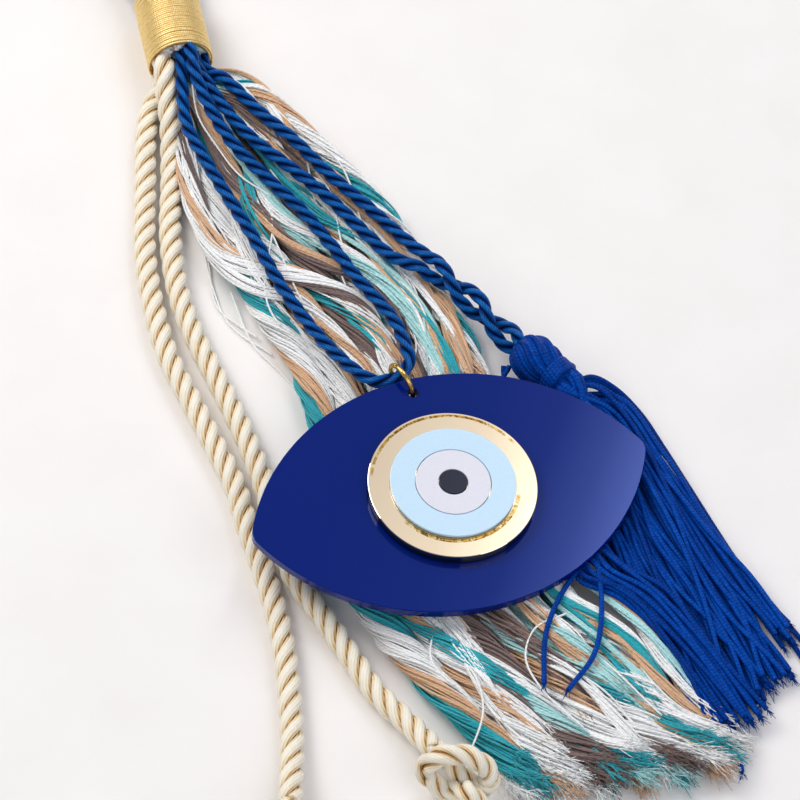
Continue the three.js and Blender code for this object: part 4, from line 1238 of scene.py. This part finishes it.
# More pass under the eye and slant across the skirt's left edge, spread between these two routes.
SLANT_LEFT = [
    (44, -43, 3), (46, -70, 5), (41, -98, 8.6), (44, -108, 9.6), (55, -114, 9), (68, -128, 7.4),
    (84, -155, 5),
]
SLANT_RIGHT = [
    (45, -43, 3), (50, -70, 5), (51, -92, 8), (57, -102, 8), (68, -112, 8), (82, -130, 7),
    (97, -151, 4),
]
SLANTED = 18
for k in range(SLANTED):
    share_right = (k + dice.uniform(0, 0.8)) / SLANTED
    slant = np.array(SLANT_LEFT) * (1 - share_right) + np.array(SLANT_RIGHT) * share_right
    slant[2:, :2] += dice.normal(0, 0.9, (len(slant) - 2, 2))
    slant[:, 2] += 0.9 * (k % 3) - 0.9
    STRAY_STRANDS.append(np.maximum(slant, (-200, -200, 0.9)))
stray_routes = np.stack([smooth_route(route, count=330) for route in STRAY_STRANDS])
piece_of(
    "tassel_stray_strands", [knitted(stray_routes), frayed_ends(stray_routes, *STRAND_FRAY)],
    viscose, "tassel", "tassel_viscose",
)

# ---- Eye ----
# A lens-shaped plate laser-cut from 3 mm cast acrylic, with a gold mirror disc, a light-blue and
# a white ring and a black pupil glued on it. It hangs from a brass jump ring.
PLATE_HALF_LENGTH = 61.5
PLATE_HALF_WIDTH = 40.5
TIP_RADIUS = 5.0
OUTLINE_POINTS = 720


def plate_reach(angles):
    """How far the plate's outline lies from its hole in each direction."""
    radius = (PLATE_HALF_LENGTH**2 + PLATE_HALF_WIDTH**2) / (2 * PLATE_HALF_WIDTH)
    drop = radius - PLATE_HALF_WIDTH
    tip = math.sqrt((radius - TIP_RADIUS) ** 2 - drop**2)
    corner = math.atan2(drop, tip)
    arc = np.linspace(corner, math.pi - corner, 1200)
    small = np.linspace(-corner, corner, 200)
    top = np.stack([radius * np.cos(arc), radius * np.sin(arc) - drop], 1)
    end = np.stack([tip + TIP_RADIUS * np.cos(small), TIP_RADIUS * np.sin(small)], 1)
    outline = np.vstack([end, top, -end, -top]) - (0, HOLE_OFFSET)
    heading = np.arctan2(outline[:, 1], outline[:, 0])
    order = np.argsort(heading)
    return np.interp(angles, heading[order], np.hypot(*outline.T)[order], period=2 * np.pi)


def turned(profile, sides=192, reach=None, centre=(0.0, 0.0)):
    """A solid on the plate from a closed profile of (radius, height), turned about an upright axis.

    With reach, a radius is measured inwards from that outline where it is negative.
    """
    angles = 2 * np.pi * np.arange(sides) / sides - np.pi
    profile = np.array(profile, float)
    radius = np.broadcast_to(profile[:, :1], (len(profile), sides))
    if reach is not None:
        radius = np.where(radius < 0, reach(angles) + radius, radius)
    x = centre[0] + radius * np.cos(angles)
    y = centre[1] + radius * np.sin(angles)
    z = np.broadcast_to(profile[:, 1:], x.shape)
    points = on_plate(np.stack([x, y, z], -1)).reshape(-1, 3)
    index = np.arange(len(points)).reshape(x.shape)
    up = np.roll(index, -1, 0)
    quads = np.stack([index, np.roll(index, -1, 1), np.roll(up, -1, 1), up], -1)
    coordinates = np.stack([radius, z, np.broadcast_to(np.sin(angles), x.shape)], -1).reshape(-1, 3)
    return points, quads.reshape(-1, 4), coordinates


def bevelled(outer, inner, low, high, bevel=0.12):
    """The profile of a flat disc or ring with its edges just broken."""
    return [
        (inner, low + bevel), (inner + bevel, low), (outer - bevel, low), (outer, low + bevel),
        (outer, high - bevel), (outer - 0.3 * bevel, high - 0.3 * bevel), (outer - bevel, high),
        (inner + bevel, high), (inner, high - bevel),
    ]


def acrylic_finish(name, colour, roughness, waviness, gloss=0.26, tint="#FFFFFF"):
    """Cast acrylic: one deep colour under a polished face that mirrors, a little wavy and fine-scratched."""
    material, shader = finish_of(
        name, roughness=roughness, ior=1.49, specular_ior_level=gloss, specular_tint=rgba(tint)
    )
    swell = grain(material, 40, 1.0)
    scratch = grain(material, 0.5, 2.0, 0.4)
    tone = add_node(material, "ShaderNodeMapRange", {0: scratch, 3: 0.93, 4: 1.06}).outputs[0]
    mix = add_node(
        material, "ShaderNodeVectorMath", {0: linear(colour), "Scale": tone}, operation="SCALE"
    )
    drive(material, shader, base_color=mix.outputs[0])
    bumped(material, shader, weighted(material, swell, scratch, 0.02), waviness)
    return material


# The blue sheet: deep and opaque. Its reflections are tinted blue, so even its bright tip stays blue.
blue_acrylic = acrylic_finish("polished blue acrylic", "#001A6E", 0.03, 0.02, 0.42, "#8FA8FF")
light_blue_acrylic = acrylic_finish("light-blue acrylic", "#C9E6FA", 0.14, 0.02)
white_acrylic = acrylic_finish("white acrylic", "#E2E3EE", 0.14, 0.02)
black_acrylic = acrylic_finish("black acrylic", "#1B2034", 0.16, 0.02)
plate_profile = [
    (-0.22, -1.5), (-0.0001, -1.28), (-0.0001, 1.28), (-0.05, 1.44), (-0.22, 1.5), (1.75, 1.5),
    (1.6, 1.35), (1.6, -1.35), (1.75, -1.5),
]
piece_of(
    "eye_plate_polished", [turned(plate_profile, OUTLINE_POINTS, plate_reach, (0.0, HOLE_OFFSET))],
    blue_acrylic, "pendant", "blue_acrylic", ["eye_plate"], smooth=False,
)

# Gold mirror acrylic: a mirror seen through the clear sheet. Its cut edge is gold, and the light and dark
# bands up it are painted reflections from inside the sheet.
mirror, mirror_shader = finish_of("gold mirror acrylic", metallic=1.0, roughness=0.035)
mirror_height = part_of(mirror, "thread", 1)
mirror_edge = add_node(mirror, "ShaderNodeMapRange", {0: mirror_height, 1: 1.8, 2: 4.8}).outputs[0]
MIRROR_TINT_AND_REFLECTION_STOPS = (
    (0.0, "#8C5A16"), (1.0, "#F9E2C2"), (0.16, "#E2B25C"), (0.3, "#6E430F"), (0.42, "#F4D590"),
    (0.6, "#B27F2E"), (0.72, "#FFEFC4"), (0.86, "#D3A04A"), (0.97, "#F9E2C2"),
)
# A clear sheet shows its far cut edge again just inside the rim, and the light-blue ring's edge again in
# front of that ring, by reflection. Both reflections are painted as broken dark and gold lines.
# A line: its radius, half its width, and the sines of the angles where it begins and where it is full.
PAINTED_REFLECTION_LINES = ((23.9, 0.42, 0.35, 0.75), (19.5, 0.6, -0.4, -0.8))
mirror_radius = part_of(mirror, "thread", 0)
mirror_side = part_of(mirror, "thread", 2)
mirror_breaks = grain(mirror, 2.2, 2.0)
mirror_tint_and_painted_reflections = mirror_edge
for line_radius, half_width, mask_start, mask_end in PAINTED_REFLECTION_LINES:
    line = add_node(
        mirror, "ShaderNodeMath", {0: mirror_radius, 1: line_radius, 2: half_width}, operation="COMPARE"
    ).outputs[0]
    mask = add_node(mirror, "ShaderNodeMapRange", {0: mirror_side, 1: mask_start, 2: mask_end}).outputs[0]
    shown = add_node(mirror, "ShaderNodeMath", {0: line, 1: mask}, operation="MULTIPLY").outputs[0]
    broken = add_node(mirror, "ShaderNodeMath", {0: shown, 1: mirror_breaks}, operation="MULTIPLY")
    mirror_tint_and_painted_reflections = weighted(mirror, mirror_tint_and_painted_reflections, broken.outputs[0], -1.5)
toned(mirror, mirror_shader, mirror_tint_and_painted_reflections, *MIRROR_TINT_AND_REFLECTION_STOPS)
bumped(mirror, mirror_shader, grain(mirror, 12, 2.0), 0.02)
DISCS = {
    "gold_mirror_disc": ("gold_mirror", mirror, bevelled(25.0, 0.01, 1.8, 4.8, 0.2)),
    "iris_ring": ("light_blue_acrylic", light_blue_acrylic, bevelled(18.6, 11.3, 5.1, 6.1)),
    "white_ring": ("white_acrylic", white_acrylic, bevelled(11.05, 4.4, 5.1, 6.1)),
    "pupil_disc": ("black_acrylic", black_acrylic, bevelled(4.15, 0.01, 5.1, 6.1)),
}
for name, (slot_name, material, profile) in DISCS.items():
    piece_of(name + "_cut", [turned(profile)], material, "pendant", slot_name, [name], smooth=False)

# The jump ring: half-hard brass wire, bent shut, with a fine split and drawing lines along the wire.
RING_WIRE = 0.75
brass, brass_shader = finish_of("bright brass wire", metallic=1.0, roughness=0.2)
brass_lines = grain(brass, 0.3, 3.0)
toned(brass, brass_shader, brass_lines, (0.3, "#C9963C"), (0.7, "#F1CF7E"))
bumped(brass, brass_shader, weighted(brass, brass_lines, ridges(brass, 14, 0.0), 0.3), 0.03)
angle = np.radians(np.linspace(62, 60 - 2 + 360, 160))[:, None]
wire = ring_centre + RING_RADIUS * (RING_DIRECTION * np.cos(angle) + upward * np.sin(angle))
ring_side = np.cross(RING_DIRECTION, upward)
piece_of(
    "jump_ring_wire", [tubes([wire], RING_WIRE, 20, reference=ring_side)], brass, "ring", "gold_metal",
    ["jump_ring"],
)
